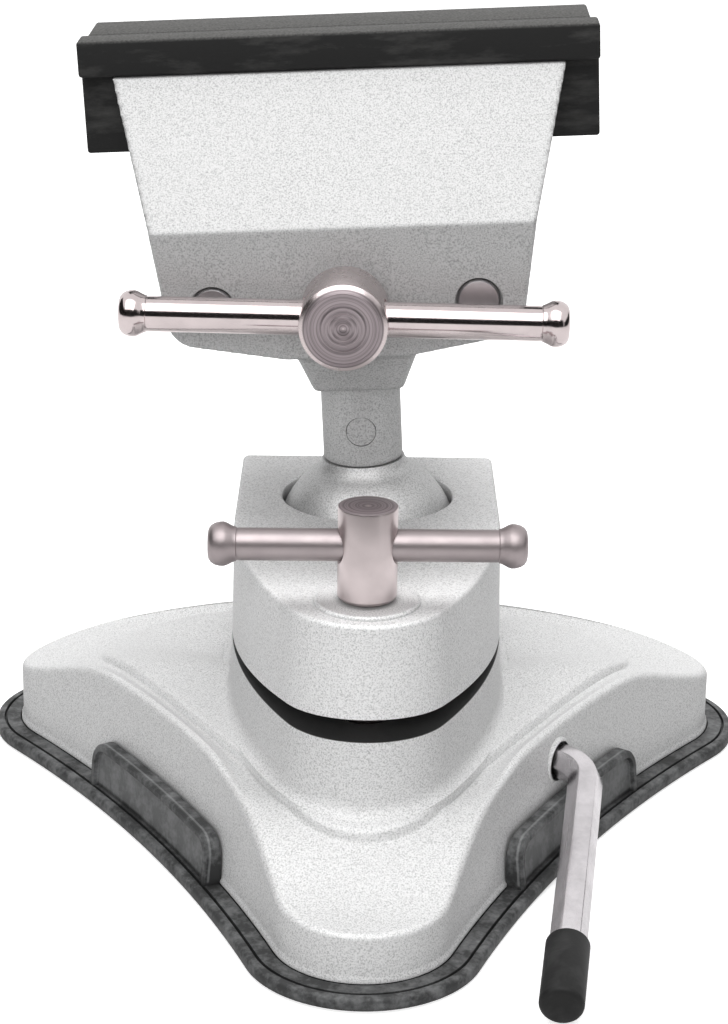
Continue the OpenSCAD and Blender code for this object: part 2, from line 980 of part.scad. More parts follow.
module fixed_jaw() {
    color(cast) {
        at_head() {
            difference() {
                union() {
                    translate([jaw_shift, 0, 0]) {
                        jaw_body(fixed_back, -jaw_front, fixed_top);
                    }
                    hull() {
                        translate([0, 0, hub_z]) {
                            cylinder(r = stem_r, h = 0.5, $fn = 32);
                        }
                        translate([0, 0, jaw_low_z + 1]) {
                            for (x = [-1, 1], y = [-jaw_front + 1.6, fixed_back - 1.6]) {
                                translate([x * (hub_half - 1.2), y, 0]) {
                                    cylinder(r = 1.2, h = 1, $fn = 16);
                                }
                            }
                        }
                    }
                    translate([0, 0, stem_foot]) {
                        cylinder(r = stem_r, h = hub_z - stem_foot + 0.3);
                    }
                }
                translate([0, 0, stem_foot - through]) {
                    cylinder(r = shank_r + running, h = shank_top - stem_foot + through + 0.3);
                }
                translate([0, 0, pin_z]) {
                    rod_y(pin_r + pressed, -stem_r - through, 0);
                }
                translate([jaw_shift, 0, 0]) {
                    rod_places() {
                        rod_y(rod_r + pressed, -jaw_front - through, fixed_back + through);
                        translate([0, -jaw_front + 0.5, 0]) {
                            rotate([90, 0, 0]) {
                                cylinder(r1 = rod_r, r2 = rod_r + 0.6, h = 0.6);
                            }
                        }
                    }
                    translate([0, 0, screw_z]) {
                        rod_y(neck_shank_r + running, -jaw_front - through, fixed_back + through);
                    }
                }
            }
        }
    }
}
module moving_jaw() {
    color(cast) {
        at_head() {
            translate([jaw_shift, 0, 0]) {
                difference() {
                    jaw_body(moving_front, moving_foot, moving_top);
                    rod_places() {
                        rod_y(rod_r + running, moving_front - through, moving_foot + through);
                    }
                    translate([0, 0, screw_z]) {
                        rod_y(lead_r + running, moving_front - through, moving_foot + through);
                    }
                }
            }
        }
    }
}

// ---- Soft jaw pads: rubber angles over the jaws' upper edges ----
pad_chamfer = 0.6;
lip_back = 1.1; // how far the moving jaw's pad reaches past the jaw
pad_low = jaw_top_z + seated - pad_drop;
pad_high = jaw_top_z + seated + pad_lip_t;
// An angle section from the grip face at y_grip back to y_end, extruded
// along X; side is -1 for the fixed jaw and 1 for the moving one
module jaw_pad(y_grip, y_end, side, length) {
    y_plate = y_grip + side * (pad_plate_t - seated);
    translate([-length / 2, 0, 0]) {
        rotate([90, 0, 90]) {
            linear_extrude(height = length) {
                polygon([
                    [y_grip, pad_low],
                    [y_plate, pad_low],
                    [y_plate, jaw_top_z + seated],
                    [y_end, jaw_top_z + seated],
                    [y_end, pad_high - pad_chamfer],
                    [y_end - side * pad_chamfer, pad_high],
                    [y_grip + side * pad_chamfer / 2, pad_high],
                    [y_grip, pad_high - pad_chamfer / 2]
                ]);
            }
        }
    }
}
module fixed_pad() {
    color(rubber) {
        at_head() {
            translate([jaw_shift, 0, 0]) {
                jaw_pad(grip_y - seated / 2, fixed_top - 0.1, -1, fixed_pad_len);
            }
        }
    }
}
module moving_pad() {
    color(rubber) {
        at_head() {
            translate([jaw_shift, 0, 0]) {
                jaw_pad(grip_y + seated / 2, moving_top + lip_back, 1, moving_pad_len);
            }
        }
    }
}

// ---- Guide rods, lead screw and lead bar ----
rod_end = moving_foot + jaw_travel + 1;
rod_chamfer = 0.6;
// A guide rod on the side given, with chamfered ends
module guide_rod(side) {
    color(steel) {
        at_head() {
            translate([jaw_shift + side * rod_spacing / 2, 0, screw_z]) {
                rotate([-90, 0, 0]) {
                    rotate_extrude() {
                        polygon([
                            [0, -jaw_front + 0.2],
                            [rod_r - rod_chamfer / 2, -jaw_front + 0.2],
                            [rod_r, -jaw_front + 0.2 + rod_chamfer / 2],
                            [rod_r, rod_end - rod_chamfer],
                            [rod_r - rod_chamfer, rod_end],
                            [0, rod_end]
                        ]);
                    }
                }
            }
        }
    }
}
module guide_rod_left() {
    guide_rod(-1);
}
module guide_rod_right() {
    guide_rod(1);
}
// Places children on the lead screw's axis, Z pointing back, turned
module at_lead() {
    at_head() {
        translate([jaw_shift, 0, screw_z]) {
            rotate([0, lead_turn, 0]) {
                rotate([-90, 0, 0]) {
                    children();
                }
            }
        }
    }
}
washer_t = 1;
head_back = -jaw_front - washer_t - seated;
head_front = head_back - lead_head_len;
clip_y = fixed_back + 0.2;
clip_t = 1;
clip_groove_r = neck_shank_r - 0.5;
ring_depth = 0.25; // depth of the turned rings in the head's face
module thrust_washer() {
    color(steel) {
        at_lead() {
            translate([0, 0, head_back + seated / 2]) {
                difference() {
                    cylinder(r = lead_head_r - 0.6, h = washer_t);
                    translate([0, 0, -through]) {
                        cylinder(r = neck_shank_r + running, h = washer_t + 2 * through);
                    }
                }
            }
        }
    }
}
module screw_clip() {
    color(steel) {
        at_lead() {
            translate([0, 0, clip_y]) {
                difference() {
                    cylinder(r = lead_r + 1.6, h = clip_t);
                    translate([0, 0, -through]) {
                        cylinder(r = clip_groove_r + pressed, h = clip_t + 2 * through);
                    }
                    translate([0, -clip_groove_r * 0.8, -through]) {
                        cube([lead_r + 1 + through, 1.6 * clip_groove_r, clip_t + 2 * through]);
                    }
                }
            }
        }
    }
}
module lead_screw() {
    color(steel) {
        at_lead() {
            difference() {
                rotate_extrude() {
                    polygon([
                        [0, head_front],
                        [lead_head_r * 0.3, head_front],
                        [lead_head_r * 0.34, head_front + ring_depth],
                        [lead_head_r * 0.4, head_front],
                        [lead_head_r * 0.56, head_front],
                        [lead_head_r * 0.6, head_front + ring_depth],
                        [lead_head_r * 0.66, head_front],
                        [lead_head_r - 0.7, head_front],
                        [lead_head_r, head_front + 0.7],
                        [lead_head_r, head_back - 0.5],
                        [lead_head_r - 0.5, head_back],
                        [neck_shank_r, head_back],
                        [neck_shank_r, clip_y - seated / 2],
                        [clip_groove_r, clip_y - seated / 2],
                        [clip_groove_r, clip_y + clip_t + seated / 2],
                        [neck_shank_r, clip_y + clip_t + seated / 2],
                        [neck_shank_r, moving_front - 1],
                        [lead_r, moving_front - 0.4],
                        [lead_r, rod_end - 4],
                        [lead_r - 0.9, rod_end - 3],
                        [0, rod_end - 3]
                    ]);
                }
                translate([-lead_head_r - through, 0, (head_front + head_back) / 2]) {
                    rotate([0, 90, 0]) {
                        cylinder(r = lead_bar_r + running, h = 2 * (lead_head_r + through));
                    }
                }
            }
        }
    }
}
module lead_bar() {
    color(steel) {
        at_lead() {
            translate([0, 0, (head_front + head_back) / 2]) {
                tommy_bar(lead_bar_r, lead_bar_len);
            }
        }
    }
}

suction_pad();
pull_plate();
pull_stud();
cam();
cam_pin();
lever_bar();
lever_cap();
base_casting();
ball_seat();
clamp_cap();
clamp_screw();
clamp_bar();
ball_stud();
stem_pin();
fixed_jaw();
moving_jaw();
fixed_pad();
moving_pad();
guide_rod_left();
guide_rod_right();
thrust_washer();
screw_clip();
lead_screw();
lead_bar();
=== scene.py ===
"""A suction base vise: lobed cast base, ball clamp, soft-jawed head and cam lever."""
import math
from collections import namedtuple

import bmesh
import bpy
from mathutils import Matrix, Vector


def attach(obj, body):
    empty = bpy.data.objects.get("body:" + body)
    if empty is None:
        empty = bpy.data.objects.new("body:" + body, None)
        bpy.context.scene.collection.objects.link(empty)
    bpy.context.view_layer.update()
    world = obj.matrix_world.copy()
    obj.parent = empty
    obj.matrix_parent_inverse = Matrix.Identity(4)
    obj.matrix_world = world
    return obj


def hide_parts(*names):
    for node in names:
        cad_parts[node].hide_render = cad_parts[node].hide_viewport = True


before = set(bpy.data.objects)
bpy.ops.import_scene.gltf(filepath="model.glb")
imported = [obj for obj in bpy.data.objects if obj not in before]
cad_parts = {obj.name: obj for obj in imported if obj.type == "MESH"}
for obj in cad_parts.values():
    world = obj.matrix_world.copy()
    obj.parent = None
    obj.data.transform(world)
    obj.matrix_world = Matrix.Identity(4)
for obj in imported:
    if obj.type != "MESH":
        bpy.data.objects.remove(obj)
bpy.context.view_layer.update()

bl_info = {
    "name": "Suction Base Vise",
    "version": (1, 0, 0),
    "blender": (4, 5, 0),
    "location": "3D View > Sidebar > Vise",
    "description": "Builds a suction base vise with its finishes and a plain studio",
    "category": "Object",
}

MM = 0.001


# ---- Settings ----

def length(label, text, millimetres):
    """A size, written in millimetres and kept in metres."""
    return bpy.props.FloatProperty(
        name=label, description=text, default=millimetres * MM, unit="LENGTH", precision=5
    )


def angle(label, text, degrees):
    """An angle, written in degrees and kept in radians."""
    return bpy.props.FloatProperty(
        name=label, description=text, default=math.radians(degrees), unit="ROTATION"
    )


def colour(label, text, red, green, blue):
    """A colour in linear light."""
    return bpy.props.FloatVectorProperty(
        name=label, description=text, default=(red, green, blue), size=3,
        subtype="COLOR", min=0.0, max=1.0
    )


class BaseSizes(bpy.types.PropertyGroup):
    """Sizes of the lobed casting and of the rubber sheet under it"""
    lobe_reach: length("Lobe reach", "From the middle of the base to each lobe's centre", 48.7)
    lobe_radius: length("Lobe radius", "Radius of each lobe's rounded end", 12.3)
    waist: length("Waist", "From the middle to each hollow side", 33.1)
    wall: length("Wall", "Thickness of the casting's wall and roof", 3)
    shoulder_height: length("Shoulder height", "Height of the shoulder at a lobe's tip", 8.8)
    dome_rise: length("Dome rise", "Rise of the top from a lobe's tip to the middle", 8)
    dome_run: length("Dome run", "Distance over which the top rises", 22)
    shoulder_round: length("Shoulder rounding", "Radius that rounds the shoulder", 0.9)
    draft: length("Draft", "How far the hollow sides lean in up to the shoulder", 1.2)
    side_lift: length("Side lift", "How far the shoulder stands above the dome", 1.7)
    crown: length("Crown", "Height of the rear lobes' crown above the shoulder", 9.8)
    crown_run: length("Crown run", "Distance over which the rear lobes rise", 39)
    foot: length("Foot", "How far the casting's foot stands out", 0.35)
    step_reach: length("Step reach", "From the middle to the raised step's lobe centres", 33.5)
    step_radius: length("Step radius", "Lobe radius of the raised step", 11.7)
    step_waist: length("Step waist", "From the middle to the raised step's hollow sides", 27.4)
    step_height: length("Step height", "Height of the raised step", 1.2)
    rubber: length("Rubber thickness", "Thickness of the rubber sheet", 2)
    flange: length("Rubber rim", "Width of the rubber outside the casting", 4.3)
    lug_length: length("Lug length", "Length of each release lug", 38.5)
    lug_height: length("Lug height", "Height of each lug above the rim", 7.1)
    lug_thickness: length("Lug thickness", "Thickness of each lug", 2.8)


class ClampSizes(bpy.types.PropertyGroup):
    """Sizes of the ball, the clamp cap and its screw"""
    ball_radius: length("Ball radius", "Radius of the ball", 13.5)
    ball_back: length("Ball back", "Distance of the ball behind the base's middle", 12)
    ball_height: length("Ball height", "Height of the ball's centre above the bench", 37)
    width: length("Cap width", "Width of the clamp cap", 39.6)
    back: length("Cap back", "From the ball's centre to the cap's flat back", 18.4)
    straight: length("Cap sides", "From the ball's centre to where the sides curve in", 10.3)
    nose: length("Cap nose", "From the ball's centre to the tip of the nose", 54)
    nose_radius: length("Nose radius", "Radius of the cap's nose", 12)
    rise: length("Cap rise", "Height of the cap's top above the ball's centre", 7)
    split_drop: length("Split depth", "Depth of the split under the ball's centre", 10.4)
    split_rise: length("Split rise", "Rise of the split from the back to the nose", 0.9)
    split_start: length("Split start", "Where the cap leaves the casting", 9.4)
    split_gap: length("Split gap", "Opening of the split at the nose", 3.1)
    mouth: length("Mouth radius", "Radius of the cap's opening round the ball", 12.85)
    screw_ahead: length("Screw ahead", "From the ball's centre to the clamp screw", 44.6)
    head_radius: length("Head radius", "Radius of the clamp screw's head", 4.05)
    head_height: length("Head height", "Height of the clamp screw's head", 13.2)
    shank: length("Shank radius", "Radius of the clamp screw's shank", 3)
    spot: length("Spot radius", "Radius of the turned face under the screw's head", 7.2)
    bar_up: length("Bar height", "Height of the clamp bar above the cap", 8.1)
    bar_radius: length("Bar radius", "Radius of the clamp bar", 2.2)
    bar_length: length("Bar length", "Length of the clamp bar", 42.7)
    turn: angle("Clamp turn", "Turn of the clamp screw and its bar", 0.5)


class HeadSizes(bpy.types.PropertyGroup):
    """Sizes of the stem, the jaws, their pads and the lead screw"""
    stem_radius: length("Stem radius", "Radius of the stem", 5.9)
    stem_foot: length("Stem foot", "Height above the ball where the stem begins", 13.2)
    shank: length("Shank radius", "Radius of the ball's shank inside the stem", 4)
    pin_height: length("Pin height", "Height of the stem pin above the ball", 18.7)
    pin_radius: length("Pin radius", "Radius of the stem pin", 2.15)
    hub_height: length("Hub height", "Height above the ball where the stem flares", 26.2)
    shift: length("Jaw shift", "Sideways offset of the jaws from the stem", -1.25)
    grip: length("Grip face", "From the stem's axis back to where the jaws meet", 9)
    front: length("Jaw front", "From the stem's axis to the jaw's lower face", 11.3)
    bevel_height: length("Bevel height", "Height of the jaw's bevel line above the ball", 50.8)
    top_height: length("Jaw top", "Height of the jaws' top above the ball", 70.5)
    top_width: length("Top width", "Width of the jaws at the top", 65.4)
    bevel_width: length("Bevel width", "Width of the jaws at the bevel line", 54.9)
    low_width: length("Low width", "Width of the jaws at their lower corners", 51.4)
    low_height: length("Lower edge", "Height of the lower edge at the hub", 31.7)
    low_rise: length("Lower edge rise", "Rise of the lower edge towards the corners", 2.2)
    low_round: length("Corner radius", "Radius of the lower corners", 4.5)
    fixed_top: length("Fixed jaw top", "Thickness of the fixed jaw at its top", 3.3)
    moving_top: length("Moving jaw top", "Thickness of the moving jaw at its top", 7.6)
    moving_foot: length("Moving jaw foot", "Thickness of the moving jaw at its foot", 18)
    fixed_pad: length("Fixed pad length", "Length of the fixed jaw's pad", 75)
    moving_pad: length("Moving pad length", "Length of the moving jaw's pad", 73)
    pad_plate: length("Pad plate", "Thickness of the pad between the jaws", 2.2)
    pad_lip: length("Pad lip", "Thickness of the pad's top leg", 5.2)
    pad_drop: length("Pad drop", "Depth to which the pad hangs between the jaws", 11.8)
    screw_height: length("Screw height", "Height of the lead screw above the ball", 39.6)
    head_radius: length("Head radius", "Radius of the lead screw's head", 6.25)
    head_length: length("Head length", "Length of the lead screw's head", 10.8)
    thread: length("Thread radius", "Outer radius of the lead screw's thread", 4)
    pitch: length("Thread pitch", "Distance between the thread's turns", 2)
    rod_spacing: length("Rod spacing", "Distance between the guide rods", 38)
    rod_radius: length("Rod radius", "Radius of the guide rods", 3.1)
    travel: length("Travel", "Greatest opening of the jaws", 55)
    bar_radius: length("Bar radius", "Radius of the lead bar", 2.5)
    bar_length: length("Bar length", "Length of the lead bar", 63)
    roll: angle("Roll", "Roll of the head on its ball", -3)
    pitch_back: angle("Pitch", "Lean of the head towards the handles", 1)
    yaw: angle("Yaw", "Turn of the head about the upright", -1)
    turn: angle("Screw turn", "Turn of the lead screw and its bar", 3.5)


class LeverSizes(bpy.types.PropertyGroup):
    """Sizes of the suction lever and its cap"""
    height: length("Axis height", "Height of the lever's axis above the bench", 13.2)
    across: length("Across flats", "Hexagon bar, measured across its flats", 4.4)
    out: length("Stand-off", "From the casting's wall to the lever's bend", 3.8)
    arm: length("Arm", "Length of the arm from the bend to its end", 50)
    lean: angle("Lean", "Angle by which the arm leans away from the casting", 22)
    drop: angle("Drop", "Angle of the arm below level", 11.2)
    bend: length("Bend radius", "Radius of the bend", 6.5)
    facet: angle("Facet turn", "Turn of the hexagon about the bar", -11)
    shaft_in: length("Shaft end", "Inner end of the round shaft on the lever's axis", -12)
    cap_radius: length("Cap radius", "Radius of the soft cap", 2.95)
    cap_length: length("Cap length", "Length of the soft cap", 12.5)
    cap_over: length("Cap overhang", "How far the cap reaches past the bar", 2.5)


class Finishes(bpy.types.PropertyGroup):
    """Colours of the finishes"""
    silver: colour("Silver paint", "Paint of the castings", 0.82, 0.82, 0.82)
    silver_dark: colour("Silver paint specks", "Darker flakes in the paint", 0.42, 0.42, 0.42)
    # Painted shadow: near-black colour for the faces inside the clamp's split, where shade falls
    painted_split_shadow: colour("Painted split shadow", "Dark faces inside the clamp's split", 0.045, 0.045, 0.045)
    nickel: colour("Nickel", "Plated screw heads and bars", 0.66, 0.58, 0.58)
    # Partly duller worn plating, partly painted shade: darker than the lead bar's nickel so the lamp's
    # reflection shows dimmer
    dull_shaded_nickel: colour("Dull nickel", "Worn plating of the clamp bar", 0.40, 0.35, 0.355)
    turned_face: colour("Turned face", "Turned end faces of the screws", 0.40, 0.345, 0.36)
    steel: colour("Steel", "Steel of the guide rods and of the parts inside", 0.50, 0.48, 0.49)
    lever_steel: colour("Lever steel", "Hexagon bar of the lever", 0.72, 0.69, 0.71)
    jaw_rubber: colour("Jaw rubber", "Soft pads on the jaws", 0.014, 0.014, 0.014)
    dust: colour("Dust", "Dust on the jaws' rubber", 0.21, 0.207, 0.2)
    base_rubber: colour("Base rubber", "Rubber sheet under the base", 0.024, 0.0245, 0.025)
    base_bloom: colour("Rubber bloom", "Grey bloom on the base's rubber", 0.20, 0.203, 0.205)
    vinyl: colour("Vinyl", "Soft cap on the lever", 0.008, 0.008, 0.008)
    plastic: colour("Plastic", "Seat ring under the ball", 0.03, 0.03, 0.03)


class StudioSettings(bpy.types.PropertyGroup):
    """Camera, lamps and floor"""
    eye: bpy.props.FloatVectorProperty(
        name="Camera place", description="Where the camera stands",
        default=(-1.137 * MM, -360.772 * MM, 173.133 * MM), size=3, subtype="TRANSLATION"
    )
    down: angle("Camera tilt", "Angle of the camera below level", 19.524)
    aside: angle("Camera turn", "Turn of the camera to the left", -0.101)
    roll: angle("Camera roll", "Roll of the camera", 0.723)
    lens: bpy.props.FloatProperty(
        name="Focal length", description="Focal length in millimetres", default=92.061
    )
    key: bpy.props.FloatProperty(
        name="Key lamp", description="Power of the lamp that reflections show, in watts", default=6.5
    )
    front: bpy.props.FloatProperty(
        name="Front lamp", description="Power of the low front lamp, in watts", default=6.5
    )
    top: bpy.props.FloatProperty(
        name="Top lamp", description="Power of the lamp overhead, in watts", default=10
    )
    sky: bpy.props.FloatProperty(
        name="Sky", description="Strength of the soft light from all round", default=0.15
    )
    floor: colour("Floor", "Colour of the floor", 0.80, 0.80, 0.80)
    card: colour("Card", "Colour of the dark cards round the stage", 0.03, 0.03, 0.03)
    card_low: length("Card foot", "Height of the dark cards' lower edge", 20)
    card_high: length("Card top", "Height of the front card's upper edge", 950)


class ViseSettings(bpy.types.PropertyGroup):
    """All settings of the vise and its studio"""
    base: bpy.props.PointerProperty(name="Base", description="Base sizes", type=BaseSizes)
    clamp: bpy.props.PointerProperty(name="Clamp", description="Clamp sizes", type=ClampSizes)
    head: bpy.props.PointerProperty(name="Head", description="Head sizes", type=HeadSizes)
    lever: bpy.props.PointerProperty(name="Lever", description="Lever sizes", type=LeverSizes)
    finish: bpy.props.PointerProperty(name="Finishes", description="Colours", type=Finishes)
    studio: bpy.props.PointerProperty(name="Studio", description="Stage", type=StudioSettings)


# ---- Places ----

LOBE_ANGLES = [math.radians(a) for a in (30, 150, 270)]
SIDE_ANGLES = [math.radians(a) for a in (-30, 90, 210)]
LEVER_ANGLE = SIDE_ANGLES[0]

# Gap between parts that touch, gap round parts that turn, and a cutter's reach past the part
SEATED = 0.1 * MM
RUNNING = 0.05 * MM
THROUGH = 1 * MM


def turned(radians, axis):
    return Matrix.Rotation(radians, 4, axis)


def moved(x, y, z):
    return Matrix.Translation((x, y, z))


# Lay a piece that was made along Z along X or along Y
ALONG_X = turned(math.pi / 2, "Y")
ALONG_Y = turned(-math.pi / 2, "X")
# Stands an outline that was drawn as (y, z) upright, with its length along X
UPRIGHT = turned(math.pi / 2, "Z") @ turned(math.pi / 2, "X")


def ball_place(v):
    """Origin at the ball's centre."""
    return moved(0, v.clamp.ball_back, v.clamp.ball_height)


def head_place(v):
    """Origin at the ball's centre; the stem is Z and the handles face -Y."""
    h = v.head
    return ball_place(v) @ turned(h.yaw, "Z") @ turned(h.pitch_back, "X") @ turned(h.roll, "Y")


def jaw_place(v):
    """The head's place, moved sideways to the jaws."""
    return head_place(v) @ moved(v.head.shift, 0, 0)


def screw_place(v):
    """The lead screw's axis: Z points back."""
    h = v.head
    return jaw_place(v) @ moved(0, 0, h.screw_height) @ turned(h.turn, "Y") @ ALONG_Y


def clamp_place(v):
    """The clamp screw's axis, on the turned spot face."""
    c = v.clamp
    top = c.ball_height + c.rise + SPOT_RISE
    return moved(0, c.ball_back - c.screw_ahead, top) @ turned(c.turn, "Z")


def lever_place(v):
    """The lever's axis: X points out of the casting."""
    return moved(0, 0, v.lever.height) @ turned(LEVER_ANGLE, "Z")


def arm_place(v):
    """The arm's start: Z runs along the arm."""
    a = v.lever
    return (
        lever_place(v) @ turned(math.pi + a.drop, "X") @ moved(v.base.waist + a.out, 0, 0)
        @ turned(math.pi / 2 - a.lean, "Z") @ ALONG_X
    )


# ---- Meshes ----

# Points nearer than the first are one, and a radius under the second is a pole
SAME_POINT = 0.0005 * MM
POLE = 0.0001 * MM
SKIN_PASSES = 3


def linked(name, data):
    """An object of the scene that holds a mesh, a lamp or a camera."""
    thing = bpy.data.objects.new(name, data)
    bpy.context.scene.collection.objects.link(thing)
    return thing


def new_piece(name, points, faces):
    """A linked mesh object with its faces pointing outwards."""
    mesh = bpy.data.meshes.new(name)
    mesh.from_pydata([tuple(p) for p in points], [], faces)
    mesh.validate()
    piece = linked(name, mesh)
    outward(piece)
    return piece


def outward(piece):
    """Merges doubled points and turns the faces outwards."""
    shape = bmesh.new()
    shape.from_mesh(piece.data)
    bmesh.ops.remove_doubles(shape, verts=shape.verts, dist=SAME_POINT)
    bmesh.ops.recalc_face_normals(shape, faces=shape.faces)
    shape.to_mesh(piece.data)
    shape.free()


def place(piece, matrix):
    """Moves a piece's mesh, so that its object stays at the origin."""
    piece.data.transform(matrix)
    piece.data.update()
    return piece


def settle(piece):
    """Turns a piece and its modifiers into a plain mesh."""
    depsgraph = bpy.context.evaluated_depsgraph_get()
    depsgraph.update()
    result = bpy.data.meshes.new_from_object(piece.evaluated_get(depsgraph))
    old = piece.data
    piece.modifiers.clear()
    piece.data = result
    bpy.data.meshes.remove(old)
    return piece


def ring_faces(count, n):
    """Faces between neighbours of a number of rings that have n points each."""
    faces = []
    for i in range(count - 1):
        for j in range(n):
            k = (j + 1) % n
            faces.append((i * n + j, i * n + k, (i + 1) * n + k, (i + 1) * n + j))
    return faces


def lofted(name, rings):
    """A closed solid through rings that have the same number of points."""
    n = len(rings[0])
    points = [p for ring in rings for p in ring]
    last = (len(rings) - 1) * n
    ends = [list(range(n)), [last + j for j in reversed(range(n))]]
    return new_piece(name, points, [ends[0], *ring_faces(len(rings), n), ends[1]])


def lathe(name, profile, steps=96):
    """A solid turned about Z; the profile runs from pole to pole as (radius, z)."""
    points = []
    rows = []
    for r, z in profile:
        if r < POLE:
            rows.append([len(points)] * steps)
            points.append((0, 0, z))
            continue
        rows.append([len(points) + i for i in range(steps)])
        for i in range(steps):
            turn = 2 * math.pi * i / steps
            points.append((r * math.cos(turn), r * math.sin(turn), z))
    faces = []
    for low, high in zip(rows, rows[1:]):
        for i in range(steps):
            k = (i + 1) % steps
            corner = [low[i], low[k], high[k], high[i]]
            faces.append(list(dict.fromkeys(corner)))
    return new_piece(name, points, faces)


def rod(name, radius, low, high):
    """A plain round cutter or bar along Z."""
    return lathe(name, [(0, low), (radius, low), (radius, high), (0, high)])


def prism(name, outline, low, high):
    """A flat outline in XY, extruded along Z."""
    return lofted(name, [[(x, y, low) for x, y in outline], [(x, y, high) for x, y in outline]])


def joined(name, pieces):
    """One object that holds several meshes."""
    points = []
    faces = []
    for piece in pieces:
        start = len(points)
        points += [p.co.copy() for p in piece.data.vertices]
        faces += [[start + i for i in f.vertices] for f in piece.data.polygons]
        drop(piece)
    mesh = bpy.data.meshes.new(name)
    mesh.from_pydata([tuple(p) for p in points], [], faces)
    return linked(name, mesh)


def drop(piece):
    mesh = piece.data
    bpy.data.objects.remove(piece)
    bpy.data.meshes.remove(mesh)


def cut(piece, cutters, operation="DIFFERENCE"):
    """Takes the cutters from a piece, or adds them, and deletes them."""
    for cutter in cutters:
        change = piece.modifiers.new("Cut", "BOOLEAN")
        change.operation = operation
        change.solver = "EXACT"
        change.object = cutter
        settle(piece)
        if not piece.data.vertices:
            raise RuntimeError(f"nothing is left of {piece.name}")
        drop(cutter)
    return piece


def cast_skin(name, parts, grain):
    """Joins parts into one casting whose edges and inner corners are softened."""
    piece = joined(name, parts)
    remesh = piece.modifiers.new("Skin", "REMESH")
    remesh.mode = "VOXEL"
    remesh.voxel_size = grain
    soften = piece.modifiers.new("Soften", "SMOOTH")
    soften.factor = 0.5
    soften.iterations = SKIN_PASSES
    return settle(piece)


def finish(piece, material, body, slot, sharp, nodes):
    """Shades a piece, gives it its material and ties it to its body."""
    mesh = piece.data
    mesh.materials.clear()
    mesh.materials.append(material)
    for face in mesh.polygons:
        face.material_index = 0
    mesh.shade_smooth()
    mesh.set_sharp_from_angle(angle=math.radians(sharp))
    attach(piece, body)
    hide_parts(*nodes)
    return piece


def bevelled(piece, width, segments=3, limit=30):
    """Rounds a piece's edges."""
    bevel = piece.modifiers.new("Edges", "BEVEL")
    bevel.width = width
    bevel.segments = segments
    bevel.limit_method = "ANGLE"
    bevel.angle_limit = math.radians(limit)
    return settle(piece)


def arc(centre, radius, start, end, steps):
    """Points of an arc, angles in degrees."""
    return [
        (
            centre[0] + radius * math.cos(math.radians(start + (end - start) * i / steps)),
            centre[1] + radius * math.sin(math.radians(start + (end - start) * i / steps)),
        )
        for i in range(steps + 1)
    ]


# ---- Node trees ----

def put(tree, made, inputs):
    """Gives a node its inputs: a value, or a socket that is linked to it."""
    for socket, value in inputs.items():
        if isinstance(value, bpy.types.NodeSocket):
            tree.links.new(value, made.inputs[socket])
        else:
            made.inputs[socket].default_value = value


def node(tree, kind, inputs=None, **settings):
    """Adds a node with its settings and inputs."""
    made = tree.nodes.new(kind)
    for name, value in settings.items():
        setattr(made, name, value)
    put(tree, made, inputs or {})
    return made


def maths(tree, operation, first, second):
    return node(tree, "ShaderNodeMath", {0: first, 1: second}, operation=operation).outputs[0]


def times(tree, first, second):
    return maths(tree, "MULTIPLY", first, second)


def plus(tree, first, second):
    return maths(tree, "ADD", first, second)


def blend_colours(tree, factor, first, second):
    """Goes from the first colour to the second as the factor goes from 0 to 1."""
    inputs = {0: factor}
    for socket, tint in ((6, first), (7, second)):
        inputs[socket] = tint if isinstance(tint, bpy.types.NodeSocket) else (*tint, 1)
    return node(tree, "ShaderNodeMix", inputs, data_type="RGBA").outputs[2]


def ranged(tree, value, low, high):
    """Takes a pattern's 0 to 1 to the range from low to high."""
    inputs = {"Value": value, "To Min": low, "To Max": high}
    return node(tree, "ShaderNodeMapRange", inputs).outputs[0]


def band(tree, value, low, high):
    """0 below low, 1 above high."""
    inputs = {"Value": value, "From Min": low, "From Max": high}
    return node(tree, "ShaderNodeMapRange", inputs, clamp=True).outputs[0]


def noise(tree, vector, scale, detail, roughness=0.5):
    """A cloudy pattern; its scale is in repeats to the metre."""
    inputs = {"Vector": vector, "Scale": scale, "Detail": detail, "Roughness": roughness}
    return node(tree, "ShaderNodeTexNoise", inputs).outputs[0]


def object_coordinates(tree):
    return node(tree, "ShaderNodeTexCoord").outputs["Object"]


def local_coordinates(tree, matrix):
    """Object coordinates, taken into the place that a matrix gives."""
    inputs = {
        "Vector": object_coordinates(tree),
        "Location": matrix.to_translation(),
        "Rotation": matrix.to_euler(),
    }
    return node(tree, "ShaderNodeMapping", inputs, vector_type="TEXTURE").outputs[0]


def blank_material(name):
    """A material whose node tree is empty, and the tree."""
    material = bpy.data.materials.new(name)
    material.use_nodes = True
    material.node_tree.nodes.clear()
    return material, material.node_tree


def new_material(name):
    """A material with its tree and its surface shader."""
    material, tree = blank_material(name)
    surface = node(tree, "ShaderNodeBsdfPrincipled")
    node(tree, "ShaderNodeOutputMaterial", {0: surface.outputs[0]})
    return material, tree, surface


def bump(tree, height, strength, distance):
    """The normal of a surface that a pattern roughens."""
    inputs = {"Height": height, "Strength": strength, "Distance": distance}
    return node(tree, "ShaderNodeBump", inputs).outputs[0]


def corner_shade(tree, reach):
    """0 in grooves and corners, 1 on open faces: the mask for shade that is painted into colours."""
    inputs = {"Distance": reach}
    return node(tree, "ShaderNodeAmbientOcclusion", inputs, samples=6).outputs["AO"]


# ---- Finishes ----

# Scales of the patterns, in repeats to the metre
FLAKES = 4600
ORANGE_PEEL = 900
CLOUDS = 45
TURNED_RINGS = 5200
SMUDGES = 300
DRAWN_STREAKS = 2600
STAINS = 160
DUST_STREAKS = 420
GRIT = 2800
BLOOM = 260
FINE_BLOOM = 1500
PEBBLES = 1700
SCUFFS = 260


